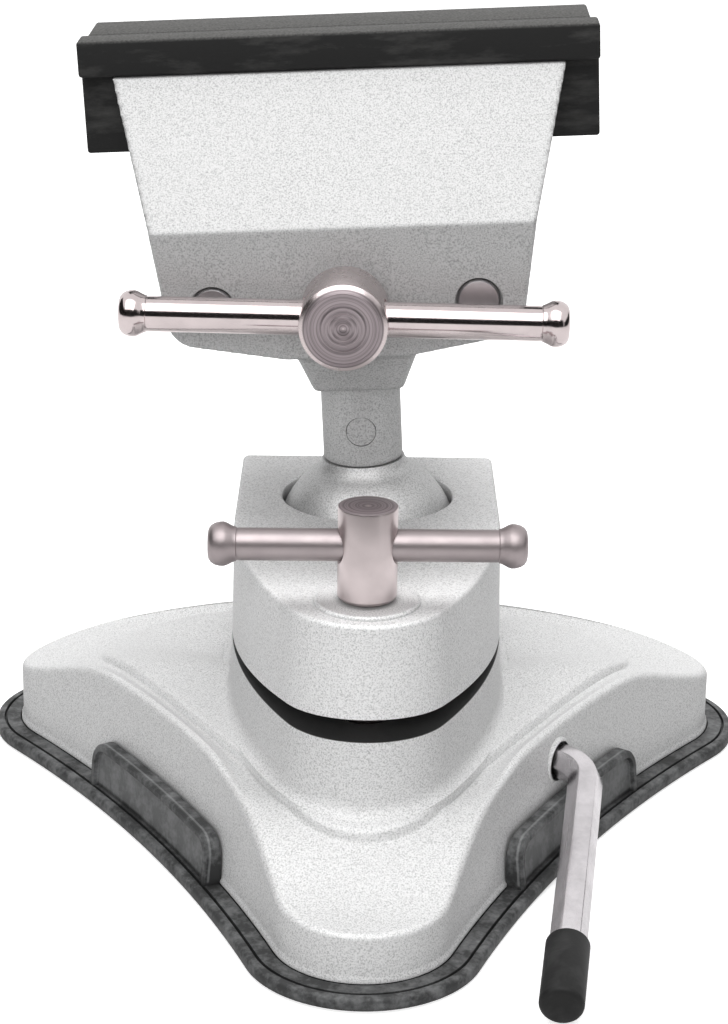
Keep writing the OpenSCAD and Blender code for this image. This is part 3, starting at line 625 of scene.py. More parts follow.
def split_shadow_mask(v, tree):
    """1 on the neck's face inside the clamp's split, where a shadow is painted, 0 below it."""
    c = v.clamp
    rise = c.split_rise / (c.back + c.nose)
    edge = c.ball_height - c.split_drop + rise * (c.back + c.ball_back) - 0.12 * MM
    inputs = {0: object_coordinates(tree), 1: (0, rise, 1)}
    height = node(tree, "ShaderNodeVectorMath", inputs, operation="DOT_PRODUCT")
    return band(tree, height.outputs["Value"], edge, edge + 0.05 * MM)


def silver_paint(v, name, level=1.0, metal=0.12, split=False, reach=1.0 * MM):
    """Metallic paint on the castings: fine specks over a slight orange peel.

    The level scales its colours, for a lighter or darker copy of the paint: painted light on the cap
    and painted shade on the jaws. Metal is its share of metal, and the reach is how far the painted
    shade of a corner spreads. Split paints the shadow inside the clamp's split as a near-black colour.
    """
    f = v.finish
    material, tree, surface = new_material(name)
    coords = object_coordinates(tree)
    flakes = noise(tree, coords, FLAKES, 1.0, 0.6)
    peel = noise(tree, coords, ORANGE_PEEL, 2.0)
    cloud = noise(tree, coords, CLOUDS, 3.0)
    pale = [c * level for c in f.silver]
    specks = blend_colours(tree, band(tree, flakes, 0.28, 0.58), [c * level for c in f.silver_dark], pale)
    shade = blend_colours(tree, times(tree, cloud, 0.25), specks, pale)
    # Painted shade: corners and grooves darken to half the paint's colour
    outside_painted_shade = band(tree, corner_shade(tree, reach), 0.2, 0.85)
    shade = blend_colours(tree, outside_painted_shade, [c * 0.5 for c in pale], shade)
    # Painted shadow: the neck's face inside the split turns near-black
    if split:
        shade = blend_colours(tree, split_shadow_mask(v, tree), shade, f.painted_split_shadow)
    height = plus(tree, flakes, times(tree, peel, 1.6))
    put(tree, surface, {
        "Base Color": shade, "Roughness": ranged(tree, flakes, 0.4, 0.58), "Metallic": metal,
        "Specular IOR Level": 0.3, "Normal": bump(tree, height, 0.5, 0.02 * MM),
    })
    return material


def turned_metal(name, tint, matrix, rough, face=None, face_tint=None):
    """Bright plated metal with the fine rings that turning leaves round its axis.

    A face is a pair of heights along the axis, between which the plating gives way to a
    duller turned end.
    """
    material, tree, surface = new_material(name)
    local = local_coordinates(tree, matrix)
    apart = node(tree, "ShaderNodeSeparateXYZ", {0: local})
    flat = node(tree, "ShaderNodeCombineXYZ", {0: apart.outputs[0], 1: apart.outputs[1]})
    radius = node(tree, "ShaderNodeVectorMath", {0: flat.outputs[0]}, operation="LENGTH")
    along = node(tree, "ShaderNodeCombineXYZ", {0: radius.outputs["Value"], 1: apart.outputs[2]})
    grooves = noise(tree, along.outputs[0], TURNED_RINGS, 1.0)
    smudges = noise(tree, local, SMUDGES, 3.0)
    tone = blend_colours(tree, band(tree, smudges, 0.35, 0.75), tint, [c * 0.9 for c in tint])
    dull = ranged(tree, smudges, rough * 0.8, rough * 1.25)
    if face is not None:
        end = band(tree, apart.outputs[2], *face)
        cut_rings = band(tree, grooves, 0.35, 0.6)
        end_tone = blend_colours(tree, cut_rings, [c * 0.6 for c in face_tint], face_tint)
        tone = blend_colours(tree, end, tone, end_tone)
        dull = plus(tree, dull, times(tree, end, 0.15))
    put(tree, surface, {
        "Base Color": tone, "Roughness": dull, "Metallic": 1.0,
        "Normal": bump(tree, grooves, 0.6, 0.008 * MM),
    })
    return material


def drawn_steel(name, tint, matrix, rough):
    """Drawn bar stock: faint streaks along Z."""
    material, tree, surface = new_material(name)
    local = local_coordinates(tree, matrix)
    stretch = node(tree, "ShaderNodeVectorMath", {0: local, 1: (1, 1, 0.03)}, operation="MULTIPLY")
    streaks = noise(tree, stretch.outputs[0], DRAWN_STREAKS, 3.0)
    stains = noise(tree, local, STAINS, 4.0, 0.6)
    tone = blend_colours(tree, band(tree, stains, 0.4, 0.7), tint, [c * 0.72 for c in tint])
    put(tree, surface, {
        "Base Color": tone, "Roughness": ranged(tree, streaks, rough * 0.7, rough * 1.4),
        "Metallic": 1.0, "Normal": bump(tree, streaks, 0.5, 0.01 * MM),
    })
    return material


def dusty_rubber(v):
    """Black rubber of the jaw pads: dusty streaks, and a paler worn top."""
    f = v.finish
    material, tree, surface = new_material("jaw rubber")
    local = local_coordinates(tree, jaw_place(v))
    stretch = node(tree, "ShaderNodeVectorMath", {0: local, 1: (0.25, 1, 1)}, operation="MULTIPLY")
    streaks = noise(tree, stretch.outputs[0], DUST_STREAKS, 5.0, 0.65)
    grit = noise(tree, local, GRIT, 2.0)
    height = node(tree, "ShaderNodeSeparateXYZ", {0: local}).outputs[2]
    top = v.head.top_height + v.head.pad_lip
    on_top = band(tree, height, top - 0.35 * MM, top + 0.1 * MM)
    veil = times(tree, band(tree, streaks, 0.5, 0.9), 0.3)
    worn = times(tree, on_top, plus(tree, band(tree, grit, 0.2, 0.8), 0.15))
    dust = maths(tree, "MAXIMUM", veil, times(tree, worn, 0.5))
    put(tree, surface, {
        "Base Color": blend_colours(tree, dust, f.jaw_rubber, f.dust), "Roughness": 0.8,
        "Specular IOR Level": 0.3, "Normal": bump(tree, plus(tree, streaks, grit), 0.4, 0.05 * MM),
    })
    return material


def side_distance(v, tree, coords):
    """How far a point stands out from the casting's nearest hollow side."""
    line = base_line(v)
    nearest = None
    for turn in SIDE_ANGLES:
        middle = polar(side_centre(line), turn)
        flat = node(tree, "ShaderNodeVectorMath", {0: coords, 1: (1, 1, 0)}, operation="MULTIPLY")
        inputs = {0: flat.outputs[0], 1: (middle.x, middle.y, 0)}
        away = node(tree, "ShaderNodeVectorMath", inputs, operation="DISTANCE").outputs["Value"]
        nearest = away if nearest is None else maths(tree, "MINIMUM", nearest, away)
    return maths(tree, "SUBTRACT", side_radius(line), nearest)


def lug_panels(v, tree, coords):
    """1 on the lugs' sunk panels, 0 elsewhere."""
    b = v.base
    height = node(tree, "ShaderNodeSeparateXYZ", {0: coords}).outputs[2]
    lean = times(tree, maths(tree, "SUBTRACT", height, b.rubber), LUG_LEAN / b.lug_height)
    outside = plus(tree, side_distance(v, tree, coords), lean)
    depth = maths(tree, "SUBTRACT", b.lug_thickness + LUG_GAP, outside)
    sunk = band(tree, depth, 0.5 * MM, 0.65 * MM)
    deeper = band(tree, depth, 0.85 * MM, 0.95 * MM)
    panel = times(tree, sunk, maths(tree, "SUBTRACT", 1.0, deeper))
    return times(tree, panel, band(tree, height, b.rubber + 0.3 * MM, b.rubber + 0.6 * MM))


def mottled_rubber(v):
    """Grey-black rubber of the base: mottled bloom, paler lug panels and painted shade in its grooves."""
    f = v.finish
    material, tree, surface = new_material("base rubber")
    coords = object_coordinates(tree)
    bloom = noise(tree, coords, BLOOM, 6.0, 0.66)
    fine = noise(tree, coords, FINE_BLOOM, 3.0)
    mottle = band(tree, plus(tree, bloom, times(tree, fine, 0.25)), 0.55, 0.9)
    mottle = plus(tree, mottle, times(tree, lug_panels(v, tree, coords), 0.55))
    tone = blend_colours(tree, mottle, f.base_rubber, f.base_bloom)
    # Painted shade: grooves and corners of the rubber darken nearly to black
    outside_painted_shade = band(tree, corner_shade(tree, 1.2 * MM), 0.3, 0.85)
    tone = blend_colours(tree, outside_painted_shade, [c * 0.15 for c in f.base_rubber], tone)
    put(tree, surface, {
        "Base Color": tone, "Roughness": 0.6,
        "Normal": bump(tree, plus(tree, bloom, fine), 0.45, 0.08 * MM),
    })
    return material


def matt_plastic(name, tint, rough):
    """Soft vinyl or plastic with a fine pebbled skin."""
    material, tree, surface = new_material(name)
    coords = object_coordinates(tree)
    pebble = noise(tree, coords, PEBBLES, 3.0)
    scuff = noise(tree, coords, SCUFFS, 4.0)
    pale = [min(1, c + 0.05) for c in tint]
    tone = blend_colours(tree, times(tree, band(tree, scuff, 0.5, 0.8), 0.5), tint, pale)
    put(tree, surface, {
        "Base Color": tone, "Roughness": rough, "Specular IOR Level": 0.3,
        "Normal": bump(tree, pebble, 0.5, 0.04 * MM),
    })
    return material


def dress(name, material):
    """Gives a node of the frame its material."""
    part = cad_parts[name]
    if not part.material_slots:
        part.data.materials.append(material)
    for slot in part.material_slots:
        slot.material = material


# ---- Lobed outlines of the base ----

Lobes = namedtuple("Lobes", "reach radius waist")
LOBE_STEPS = 40
SIDE_STEPS = 28
DOME_EASE = 1.3

# The rear lobes' crown: how full it is, and where it sets in behind and beside the middle
CROWN_FULLNESS = 1.8
CROWN_BACK = (-14 * MM, 34 * MM)
CROWN_ASIDE = (0, 30 * MM)

# Angles in degrees: where the step comes in beside a rear lobe's tip, and where the side
# lift comes in beside the front lobe's
STEP_IN = (2, 20)
LIFT_IN = (22, 42)


def base_line(v):
    return Lobes(v.base.lobe_reach, v.base.lobe_radius, v.base.waist)


def step_line(v):
    return Lobes(v.base.step_reach, v.base.step_radius, v.base.step_waist)


def between(low, high, t):
    return Lobes(*(a + (b - a) * t for a, b in zip(low, high)))


def side_radius(o):
    """Radius of the hollow side that meets both lobes and passes the waist."""
    return (
        (o.reach ** 2 + o.waist ** 2 - o.reach * o.waist - o.radius ** 2)
        / (2 * o.radius - 2 * o.waist + o.reach)
    )


def side_centre(o):
    return o.waist + side_radius(o)


def lobe_sweep(o):
    """Half the angle of a lobe's arc."""
    return math.atan2(side_centre(o) * math.sin(math.pi / 3), side_centre(o) * 0.5 - o.reach)


def polar(radius, turn):
    return Vector((radius * math.cos(turn), radius * math.sin(turn)))


def side_point(o, grow, middle, t):
    """A point of a hollow side grown outwards; t runs from -1 to 1."""
    swing = lobe_sweep(o) - math.pi / 3
    return polar(side_centre(o), middle) - polar(side_radius(o) - grow, middle - t * swing)


def lobed(o, grow):
    """The outline grown outwards, anticlockwise."""
    points = []
    for turn in LOBE_ANGLES:
        for i in range(LOBE_STEPS + 1):
            swing = lobe_sweep(o) * (2 * i / LOBE_STEPS - 1)
            points.append(polar(o.reach, turn) + polar(o.radius + grow, turn + swing))
        for i in range(1, SIDE_STEPS):
            points.append(side_point(o, grow, turn + math.pi / 3, 2 * i / SIDE_STEPS - 1))
    return points


def dome(v, radius):
    """Height of the casting's top at a distance from the middle."""
    b = v.base
    t = max(0.0, min(1.0, (b.lobe_reach + b.lobe_radius - radius) / b.dome_run)) ** DOME_EASE
    return b.shoulder_height + b.dome_rise * t * t * (3 - 2 * t)


def smooth(low, high, value):
    """0 below low, 1 above high, with an even start and end."""
    t = max(0.0, min(1.0, (value - low) / (high - low)))
    return t * t * (3 - 2 * t)


def crowned(v, p):
    """Height of the top, with the rear lobes' fuller crown."""
    b = v.base
    plain = dome(v, p.length)
    t = max(0.0, min(1.0, (b.lobe_reach + b.lobe_radius - p.length) / b.crown_run))
    full = b.shoulder_height + b.crown * (1 - (1 - t) ** CROWN_FULLNESS)
    rear = smooth(*CROWN_BACK, p.y) * smooth(*CROWN_ASIDE, abs(p.x))
    return plain + (full - plain) * rear


def step_fade(p):
    """The raised step runs out towards the rear lobes' tips."""
    nearest = min(LOBE_ANGLES[:2], key=lambda turn: (polar(1, turn) - p.normalized()).length)
    off = abs(math.degrees(p.angle_signed(polar(1, nearest))))
    return smooth(*STEP_IN, off)


def on_dome(v, outline, rise):
    """Points on the plain dome."""
    return [(p.x, p.y, dome(v, p.length) + rise) for p in outline]


def side_lift(v, p):
    """The shoulder stands up everywhere but on the front lobe."""
    return v.base.side_lift * smooth(*LIFT_IN, math.degrees(p.angle(Vector((0, -1)))))


def on_crown(v, outline, rise, lift=0.0, step=0.0):
    """Points on the top; shares of the shoulder's lift and of the step are added."""
    points = []
    for p in outline:
        z = crowned(v, p) + rise + lift * side_lift(v, p)
        points.append((p.x, p.y, z + step * v.base.step_height * step_fade(p)))
    return points


def level(outline, z):
    return [(p.x, p.y, z) for p in outline]


# ---- Base casting ----

# Section of the casting's foot: height in millimetres and share of the foot's width
FOOT_PROFILE = ((0.02, 1), (0.4, 1), (0.75, 0.3), (1.2, 0))
# Section of the raised step, inwards: distance out in millimetres and share of its height
STEP_PROFILE = (
    (0.5, 0), (0.4, 0.02), (0.22, 0.35), (0.06, 0.7), (-0.15, 0.9), (-0.5, 1), (-1.0, 1.04),
    (-1.6, 1.08), (-4, 1.2), (-8, 1.35),
)

NECK_FILLET = 2 * MM
NECK_DRAFT = 0.3 * MM
BOSS_RADIUS = 4.2 * MM
SPOT_RISE = 0.5 * MM
CUP_RADIUS = 13.8 * MM
# Degrees below level where the ball's cup becomes a straight bore
CUP_EDGE = 35
# Along the lever's axis: the bearings inside the hollow, and the bore's blind end
INNER_BEARING = (-11.5 * MM, -3.5 * MM)
OUTER_BEARING = (3.5 * MM, 40 * MM)
BORE_END = -13 * MM
# Radius, bottom and top of the cam's pocket and, from the ball, of the seat's recess
POCKET = (8.4 * MM, 0.5 * MM, 21 * MM)
SEAT_RECESS = (8.65 * MM, -14.45 * MM, -8 * MM)
# Bottom and top of the clamp screw's hole
SCREW_HOLE = (15 * MM, 30 * MM)
# Rings of the roof: how far the first lies inside the shoulder, how far the last would lie
# outside the step, their number, and the sizes of those inside the step
RIM_IN = 0.25 * MM
STEP_FOOT = 1.1 * MM
ROOF_STEPS = 12
TOWARDS_MIDDLE = (0.85, 0.7, 0.55, 0.4, 0.25)


def cap_plan(v, grow):
    """The clamp's plan round the ball's centre: straight sides, curved flanks, round nose."""
    c = v.clamp
    half = c.width / 2
    corner = 1.4 * MM
    nose_y = -(c.nose - c.nose_radius)
    span = c.nose - c.nose_radius - c.straight
    flank = (half ** 2 + span ** 2 - c.nose_radius ** 2) / (2 * (half - c.nose_radius))
    flank_x = half - flank
    swing = math.degrees(math.atan2(nose_y + c.straight, -flank_x))
    right = arc((0, nose_y), c.nose_radius + grow, -90, swing, 24)
    right += arc((flank_x, -c.straight), flank + grow, swing, 0, 24)[1:]
    right += arc((half - corner, c.back - corner), corner + grow, 0, 90, 6)
    left = [(-x, y) for x, y in reversed(right[1:])]
    return right + left


def split_height(v, y):
    """Height of the split above the ball's centre."""
    c = v.clamp
    return -c.split_drop + c.split_rise * (c.back - y) / (c.back + c.nose)


def base_shell(v):
    """The outside of the casting as a solid: its small foot, crown and raised step."""
    b = v.base
    line = base_line(v)
    shoulder = Lobes(b.lobe_reach, b.lobe_radius, b.waist - b.draft)
    rings = [level(lobed(line, b.foot * out), b.rubber + z * MM) for z, out in FOOT_PROFILE]
    for a in range(0, 91, 15):
        inset = b.shoulder_round * (1 - math.cos(math.radians(a)))
        fall = b.shoulder_round * (1 - math.sin(math.radians(a)))
        rings.append(on_crown(v, lobed(shoulder, -inset), -fall, 1))
    rings.append(on_crown(v, lobed(shoulder, -b.shoulder_round - RIM_IN), 0, 1))
    for i in range(1, ROOF_STEPS):
        t = i / ROOF_STEPS
        grow = -b.shoulder_round * (1 - t) + STEP_FOOT * t
        rings.append(on_crown(v, lobed(between(shoulder, step_line(v), t), grow), 0, 1 - t))
    for grow, share in STEP_PROFILE:
        rings.append(on_crown(v, lobed(step_line(v), grow * MM), 0, 0, share))
    inner = lobed(step_line(v), STEP_PROFILE[-1][0] * MM)
    for size in TOWARDS_MIDDLE:
        rings.append(on_crown(v, [p * size for p in inner], 0, 0, STEP_PROFILE[-1][1]))
    return lofted("base_shell", rings)


def neck(v):
    """The lower half of the clamp, with a fillet where it meets the base."""
    c = v.clamp

    def ring(grow, rise):
        points = [Vector((x, y + c.ball_back)) for x, y in cap_plan(v, grow)]
        return [(p.x, p.y, dome(v, p.length) + v.base.step_height + rise) for p in points]

    rings = [ring(NECK_DRAFT + NECK_FILLET, -2 * v.base.step_height)]
    for a in range(10, 91, 10):
        out = NECK_FILLET * (1 - math.sin(math.radians(a)))
        rise = NECK_FILLET * (1 - math.cos(math.radians(a)))
        rings.append(ring(NECK_DRAFT + out, rise))
    rings.append([
        (x, y + c.ball_back, c.ball_height + split_height(v, y)) for x, y in cap_plan(v, 0)
    ])
    return lofted("neck", rings)


def base_hollow(v):
    """The space inside the casting for the cam, less the shaft's bearings."""
    wall = v.base.wall
    edge = 1.2 * MM
    line = base_line(v)
    hollow = lofted("hollow", [
        level(lobed(line, -wall), 0),
        on_dome(v, lobed(line, -wall), -wall - edge),
        on_dome(v, lobed(line, -wall - edge), -wall),
        on_dome(v, lobed(between(line, step_line(v), 0.5), -wall), -wall),
        on_dome(v, lobed(step_line(v), -8 * MM), -wall + 0.7 * MM),
    ])
    cut(hollow, [rod("pocket", *POCKET)], "UNION")
    along = lever_place(v) @ ALONG_X
    outer = place(rod("outer", BOSS_RADIUS, *OUTER_BEARING), along)
    inner = place(rod("inner", BOSS_RADIUS, *INNER_BEARING), along)
    return cut(hollow, [outer, inner])


def make_base_casting(v):
    """The base casting: shell, neck and lever boss in one, then hollowed and bored."""
    b = v.base
    c = v.clamp
    along = lever_place(v) @ ALONG_X
    shaft = v.lever.across / 2
    collar = shaft + 1.3 * MM
    round_off = 0.3 * MM
    root = b.waist - 3 * MM
    end = b.waist - 0.5 * MM
    section = [(0, root), (collar, root), (collar, end - round_off), (collar - round_off, end), (0, end)]
    boss = place(lathe("boss", section), along)
    piece = base_shell(v)
    cut(piece, [neck(v), boss], "UNION")
    bore = place(rod("bore", shaft + RUNNING, BORE_END, b.waist + THROUGH), along)
    sink = place(rod("sink", shaft + 0.75 * MM, b.waist - 2.6 * MM, b.waist + THROUGH), along)
    cup = [(0, -CUP_RADIUS)] + arc((0, 0), CUP_RADIUS, -90, -CUP_EDGE, 40)[1:]
    cup += [(CUP_RADIUS * math.cos(math.radians(CUP_EDGE)), 0), (0, 0)]
    ball = place(lathe("cup", cup), ball_place(v))
    seat = place(rod("seat", *SEAT_RECESS), ball_place(v))
    screw = rod("screw_hole", c.shank + 0.35 * MM, *SCREW_HOLE)
    place(screw, moved(0, c.ball_back - c.screw_ahead, 0))
    return cut(piece, [base_hollow(v), bore, sink, ball, seat, screw])


# ---- Clamp ----

def make_clamp_cap(v):
    """The clamp cap with its rounded edge, wedge-shaped split, spot face, mouth and hole."""
    c = v.clamp
    rings = [[(x, y, split_height(v, y) + SEATED) for x, y in cap_plan(v, 0)]]
    edge = 0.7 * MM
    for a in range(0, 91, 15):
        inset = NECK_DRAFT + edge * (1 - math.cos(math.radians(a)))
        z = c.rise - edge * (1 - math.sin(math.radians(a)))
        rings.append([(x, y, z) for x, y in cap_plan(v, -inset)])
    piece = lofted("cap_body", rings)
    slope = c.split_gap / (c.nose - c.split_start) + c.split_rise / (c.back + c.nose)
    start = split_height(v, -c.split_start) + SEATED
    reach = c.nose + THROUGH
    wedge = [
        (-c.split_start + THROUGH, start - THROUGH * slope),
        (-reach, start + (reach - c.split_start) * slope),
        (-reach, -c.split_drop - THROUGH),
        (-c.split_start + THROUGH, -c.split_drop - THROUGH),
    ]
    cut(piece, [place(prism("wedge", wedge, -c.width, c.width), UPRIGHT)])
    close = math.degrees(math.acos(c.mouth / CUP_RADIUS))
    low = -c.split_drop - 5 * MM
    wide = c.mouth + 0.4 * MM
    mouth = [(0, low), (CUP_RADIUS, low)] + arc((0, 0), CUP_RADIUS, 0, close, 16)
    mouth += [(c.mouth, c.rise - 0.3 * MM), (wide, c.rise + 0.1 * MM)]
    mouth += [(wide, c.rise + THROUGH), (0, c.rise + THROUGH)]
    rim = c.rise + SPOT_RISE
    spot = [(0, 2 * MM), (c.spot, 2 * MM), (c.spot, rim - 0.25 * MM)]
    spot += [(c.spot - 0.1 * MM, rim - 0.07 * MM), (c.spot - 0.28 * MM, rim)]
    spot += [(c.spot - 0.6 * MM, rim - 0.02 * MM), (c.spot - 0.8 * MM, rim - 0.14 * MM)]
    spot += [(0, rim - 0.14 * MM)]
    ahead = moved(0, -c.screw_ahead, 0)
    cut(piece, [place(lathe("spot", spot), ahead)], "UNION")
    hole = rod("hole", c.shank + RUNNING, -c.split_drop - THROUGH, c.rise + 2 * THROUGH)
    cut(piece, [lathe("mouth", mouth), place(hole, ahead)])
    return place(piece, ball_place(v))


# Section of a bar's knob from its end inwards, in millimetres: distance outside the bar and
# height, and the height of its hollow end's middle
KNOB_PROFILE = (
    (-1.4, 0.1), (-0.6, 0), (-0.15, 0.1), (0.3, 0.42), (0.62, 0.95), (0.78, 1.6), (0.8, 2.1),
    (0.66, 2.55), (0.36, 3.1), (0.14, 3.6), (0.12, 3.75), (-0.02, 3.85), (-0.04, 4.0), (0, 4.2),
)
KNOB_HOLLOW = 0.16


def tommy_bar(name, radius, full):
    """A sliding bar along Z with swaged, flat-ended knobs."""
    half = full / 2
    knob = [(-radius / MM, KNOB_HOLLOW), *KNOB_PROFILE]
    low = [(max(0, radius + out * MM), -half + z * MM) for out, z in knob]
    high = [(r, -z) for r, z in reversed(low)]
    return lathe(name, low + high, 72)


def make_clamp_screw(v):
    """The clamp screw: a waisted, cross-bored head on a shank."""
    c = v.clamp
    r = c.head_radius
    h = c.head_height
    low = -c.rise - SPOT_RISE - c.split_drop - 11 * MM
    foot = SEATED / 2
    profile = [
        (0, low), (c.shank - 0.6 * MM, low), (c.shank, low + 0.6 * MM), (c.shank, foot),
        (r - 0.7 * MM, foot), (r - 0.3 * MM, foot + 0.15 * MM), (r, foot + 0.6 * MM), (r, h - 0.22 * MM),
        (r - 0.06 * MM, h - 0.06 * MM), (r - 0.22 * MM, h), (r * 0.3, h), (0, h - 0.08 * MM),
    ]
    piece = lathe("clamp_head", profile)
    bore = cross_bore(c.bar_radius + RUNNING, r)
    cut(piece, [place(bore, moved(0, 0, c.bar_up - SPOT_RISE))])
    return place(piece, clamp_place(v))


def cross_bore(radius, head):
    """A cutter along X through a head, flared where it leaves the head's round side."""
    out = 0.42 * MM
    half = [
        (radius, 0), (radius, head * 0.62), (radius + out * 0.25, head * 0.72),
        (radius + out * 0.7, head * 0.85), (radius + out, head), (radius + out, head * 1.4),
    ]
    profile = [(r, -x) for r, x in reversed(half[1:])] + half[1:]
    profile = [(0, -head * 1.4)] + profile + [(0, head * 1.4)]
    return place(lathe("bore", profile), ALONG_X)


def clamp_bar_place(v):
    c = v.clamp
    return clamp_place(v) @ moved(0, 0, c.bar_up - SPOT_RISE) @ ALONG_X


def make_ball(v):
    """The ball and the stepped shank that goes up into the stem."""
    h = v.head
    r = v.clamp.ball_radius
    collar = h.stem_radius + 1.5 * MM
    start = math.degrees(math.acos(collar / r))
    foot = h.stem_foot - SEATED
    groove = h.shank - 1.3 * MM
    low = h.pin_height - h.pin_radius - SEATED
    high = h.pin_height + h.pin_radius + SEATED
    top = h.hub_height - 2 * MM
    profile = [(0, -r)] + arc((0, 0), r, -90, start, 80)[1:]
    rim = math.sqrt(r ** 2 - collar ** 2)
    profile += [
        (h.stem_radius + 0.85 * MM, rim + (foot - rim) * 0.35),
        (h.stem_radius + 0.4 * MM, rim + (foot - rim) * 0.68),
        (h.stem_radius + 0.24 * MM, foot - 0.1 * MM), (h.stem_radius + 0.18 * MM, foot),
        (h.shank, foot), (h.shank, low), (groove, low), (groove, high),
        (h.shank, high), (h.shank, top - 0.6 * MM), (h.shank - 0.6 * MM, top), (0, top),
    ]
    return place(lathe("ball", profile, 128), head_place(v))


# ---- Jaws and pads ----

# Half the hub's width, and half the flat of the jaw's lower edge that lies over it
HUB_HALF = 8.9 * MM
HUB_EDGE = 8.8 * MM


def jaw_outline(v):
    """Right-hand half of a jaw seen from the front, from the top down, as (x, z)."""
    h = v.head
    centre = (h.low_width / 2 - h.low_round, h.low_height + h.low_rise + h.low_round)
    half = [(h.top_width / 2, h.top_height), (h.bevel_width / 2, h.bevel_height)]
    half += arc(centre, h.low_round, 0, -84, 12)
    half.append((HUB_EDGE, h.low_height))
    return half


def jaw_blank(v, grip, foot, top):
    """A jaw's body: the face at grip is flat and the outer one leans in at the top."""
    h = v.head
    right = jaw_outline(v)
    outline = right + [(-x, z) for x, z in reversed(right)]

    def outer(z):
        t = max(0.0, (z - h.bevel_height) / (h.top_height - h.bevel_height))
        return foot + (top - foot) * t

    n = len(outline)
    points = [(x, grip, z) for x, z in outline] + [(x, outer(z), z) for x, z in outline]
    faces = [list(range(n)), [n, n + 1, 2 * n - 2, 2 * n - 1], list(range(n + 1, 2 * n - 1))]
    faces += [(i, (i + 1) % n, n + (i + 1) % n, n + i) for i in range(n)]
    return new_piece("blank", points, faces)


def hub_blank(v, back):
    """The tapered hub that stands round the stem's top and carries the jaw."""
    h = v.head

    def ring(half_x, front, rear, z):
        middle = (front + rear) / 2
        points = []
        for q, (sx, sy) in enumerate(((1, 1), (-1, 1), (-1, -1), (1, -1))):
            centre = (sx * (half_x - corner), middle + sy * ((rear - front) / 2 - corner))
            points += arc(centre, corner, 90 * q, 90 * q + 90, 7)
        return [(x, y, z) for x, y in points]

    corner = 1.5 * MM
    inset = 0.4 * MM
    low = h.hub_height - inset
    front = -h.front + inset
    rear = back - inset
    out = h.stem_radius + 0.8 * MM
    return lofted("hub", [
        ring(out - 0.1 * MM, -out - 1.3 * MM, out - 0.1 * MM, low),
        ring(out, -out - 1.5 * MM, out, low + 0.3 * MM),
        ring(HUB_HALF, front, rear, h.low_height + 0.5 * MM),
        ring(HUB_HALF, front, rear, h.low_height + 3 * MM),
    ])


def rod_cutters(v, radius, front, back, flare):
    """Cutters for both guide rods, with a flared mouth at the front."""
    h = v.head
    cutters = []
    for side in (-1, 1):
        profile = [(0, front - THROUGH), (radius + flare, front - THROUGH)]
        profile += [(radius + flare, front + 1 * MM), (radius, front + 1 * MM)]
        profile += [(radius, back + THROUGH), (0, back + THROUGH)]
        hole = place(lathe("rod_hole", profile), ALONG_Y)
        cutters.append(place(hole, moved(side * h.rod_spacing / 2, 0, h.screw_height)))
    return cutters


def across_jaw(v, name, radius, front, back):
    """A round cutter along the lead screw's axis."""
    hole = place(rod(name, radius, front, back), ALONG_Y)
    return place(hole, moved(0, 0, v.head.screw_height))


def make_fixed_jaw(v):
    """The front jaw with its hub and tubular stem in one casting."""
    h = v.head
    back = h.grip - h.pad_plate
    blank = place(jaw_blank(v, back, -h.front, back - h.fixed_top), moved(h.shift, 0, 0))
    stem = rod("stem", h.stem_radius, h.stem_foot, h.hub_height + 1 * MM)
    piece = cast_skin("front_jaw", [blank, hub_blank(v, back), stem], 0.38 * MM)
    shank = rod("shank", h.shank + RUNNING, h.stem_foot - THROUGH, h.hub_height - 1.6 * MM)
    pin = place(rod("pin", h.pin_radius + 0.08 * MM, -h.stem_radius - THROUGH, 0), ALONG_Y)
    place(pin, moved(0, 0, h.pin_height))
    cutters = rod_cutters(v, h.rod_radius + 0.02 * MM, -h.front, back, 0.3 * MM)
    cutters.append(across_jaw(v, "neck_hole", h.thread - 0.55 * MM, -h.front - THROUGH, back + THROUGH))
    for cutter in cutters:
        place(cutter, moved(h.shift, 0, 0))
    cut(piece, cutters + [shank, pin])
    return place(piece, head_place(v))


def make_moving_jaw(v):
    """The rear jaw, bored for the rods and the lead screw."""
    h = v.head
    grip = h.grip + h.pad_plate
    foot = grip + h.moving_foot
    blank = jaw_blank(v, grip, foot, grip + h.moving_top)
    piece = cast_skin("rear_jaw", [blank], 0.45 * MM)
    cutters = rod_cutters(v, h.rod_radius + RUNNING, grip, foot, 0)
    cutters.append(across_jaw(v, "screw_hole", h.thread + RUNNING, grip - THROUGH, foot + THROUGH))
    cut(piece, cutters)
    return place(piece, jaw_place(v))


def make_pad(v, name, grip, end, side, full):
    """A rubber angle over a jaw's top edge; side is -1 or 1."""
    h = v.head
    low = h.top_height + SEATED - h.pad_drop
    high = h.top_height + SEATED + h.pad_lip
    plate = grip + side * (h.pad_plate - SEATED)
    section = [
        (grip, low), (plate, low), (plate, h.top_height + SEATED), (end, h.top_height + SEATED),
        (end, high), (grip, high),
    ]
    piece = place(prism(name, section, -full / 2, full / 2), UPRIGHT)
    bevelled(piece, 0.45 * MM)
    return place(piece, jaw_place(v))


# ---- Lead screw ----

# Depths of the turned rings in the head's end face, in millimetres from the middle out
RING_DEPTHS = (0.12, 0.03, 0.14, 0.02, 0.15, 0.04, 0.12, 0.02, 0.14, 0.03, 0.1, 0.0, 0.08)
# Half width of the thread's ridge, and how far it stops short of the end that lead_ends gives
RIDGE = 0.72 * MM
THREAD_SHORT = 4.2 * MM


def lead_ends(v):
    """Front and back of the lead screw's head, and the thread's start and end."""
    h = v.head
    back = -h.front - 1 * MM - SEATED
    start = h.grip + h.pad_plate
    return back - h.head_length, back, start, start + h.moving_foot + h.travel + 1 * MM


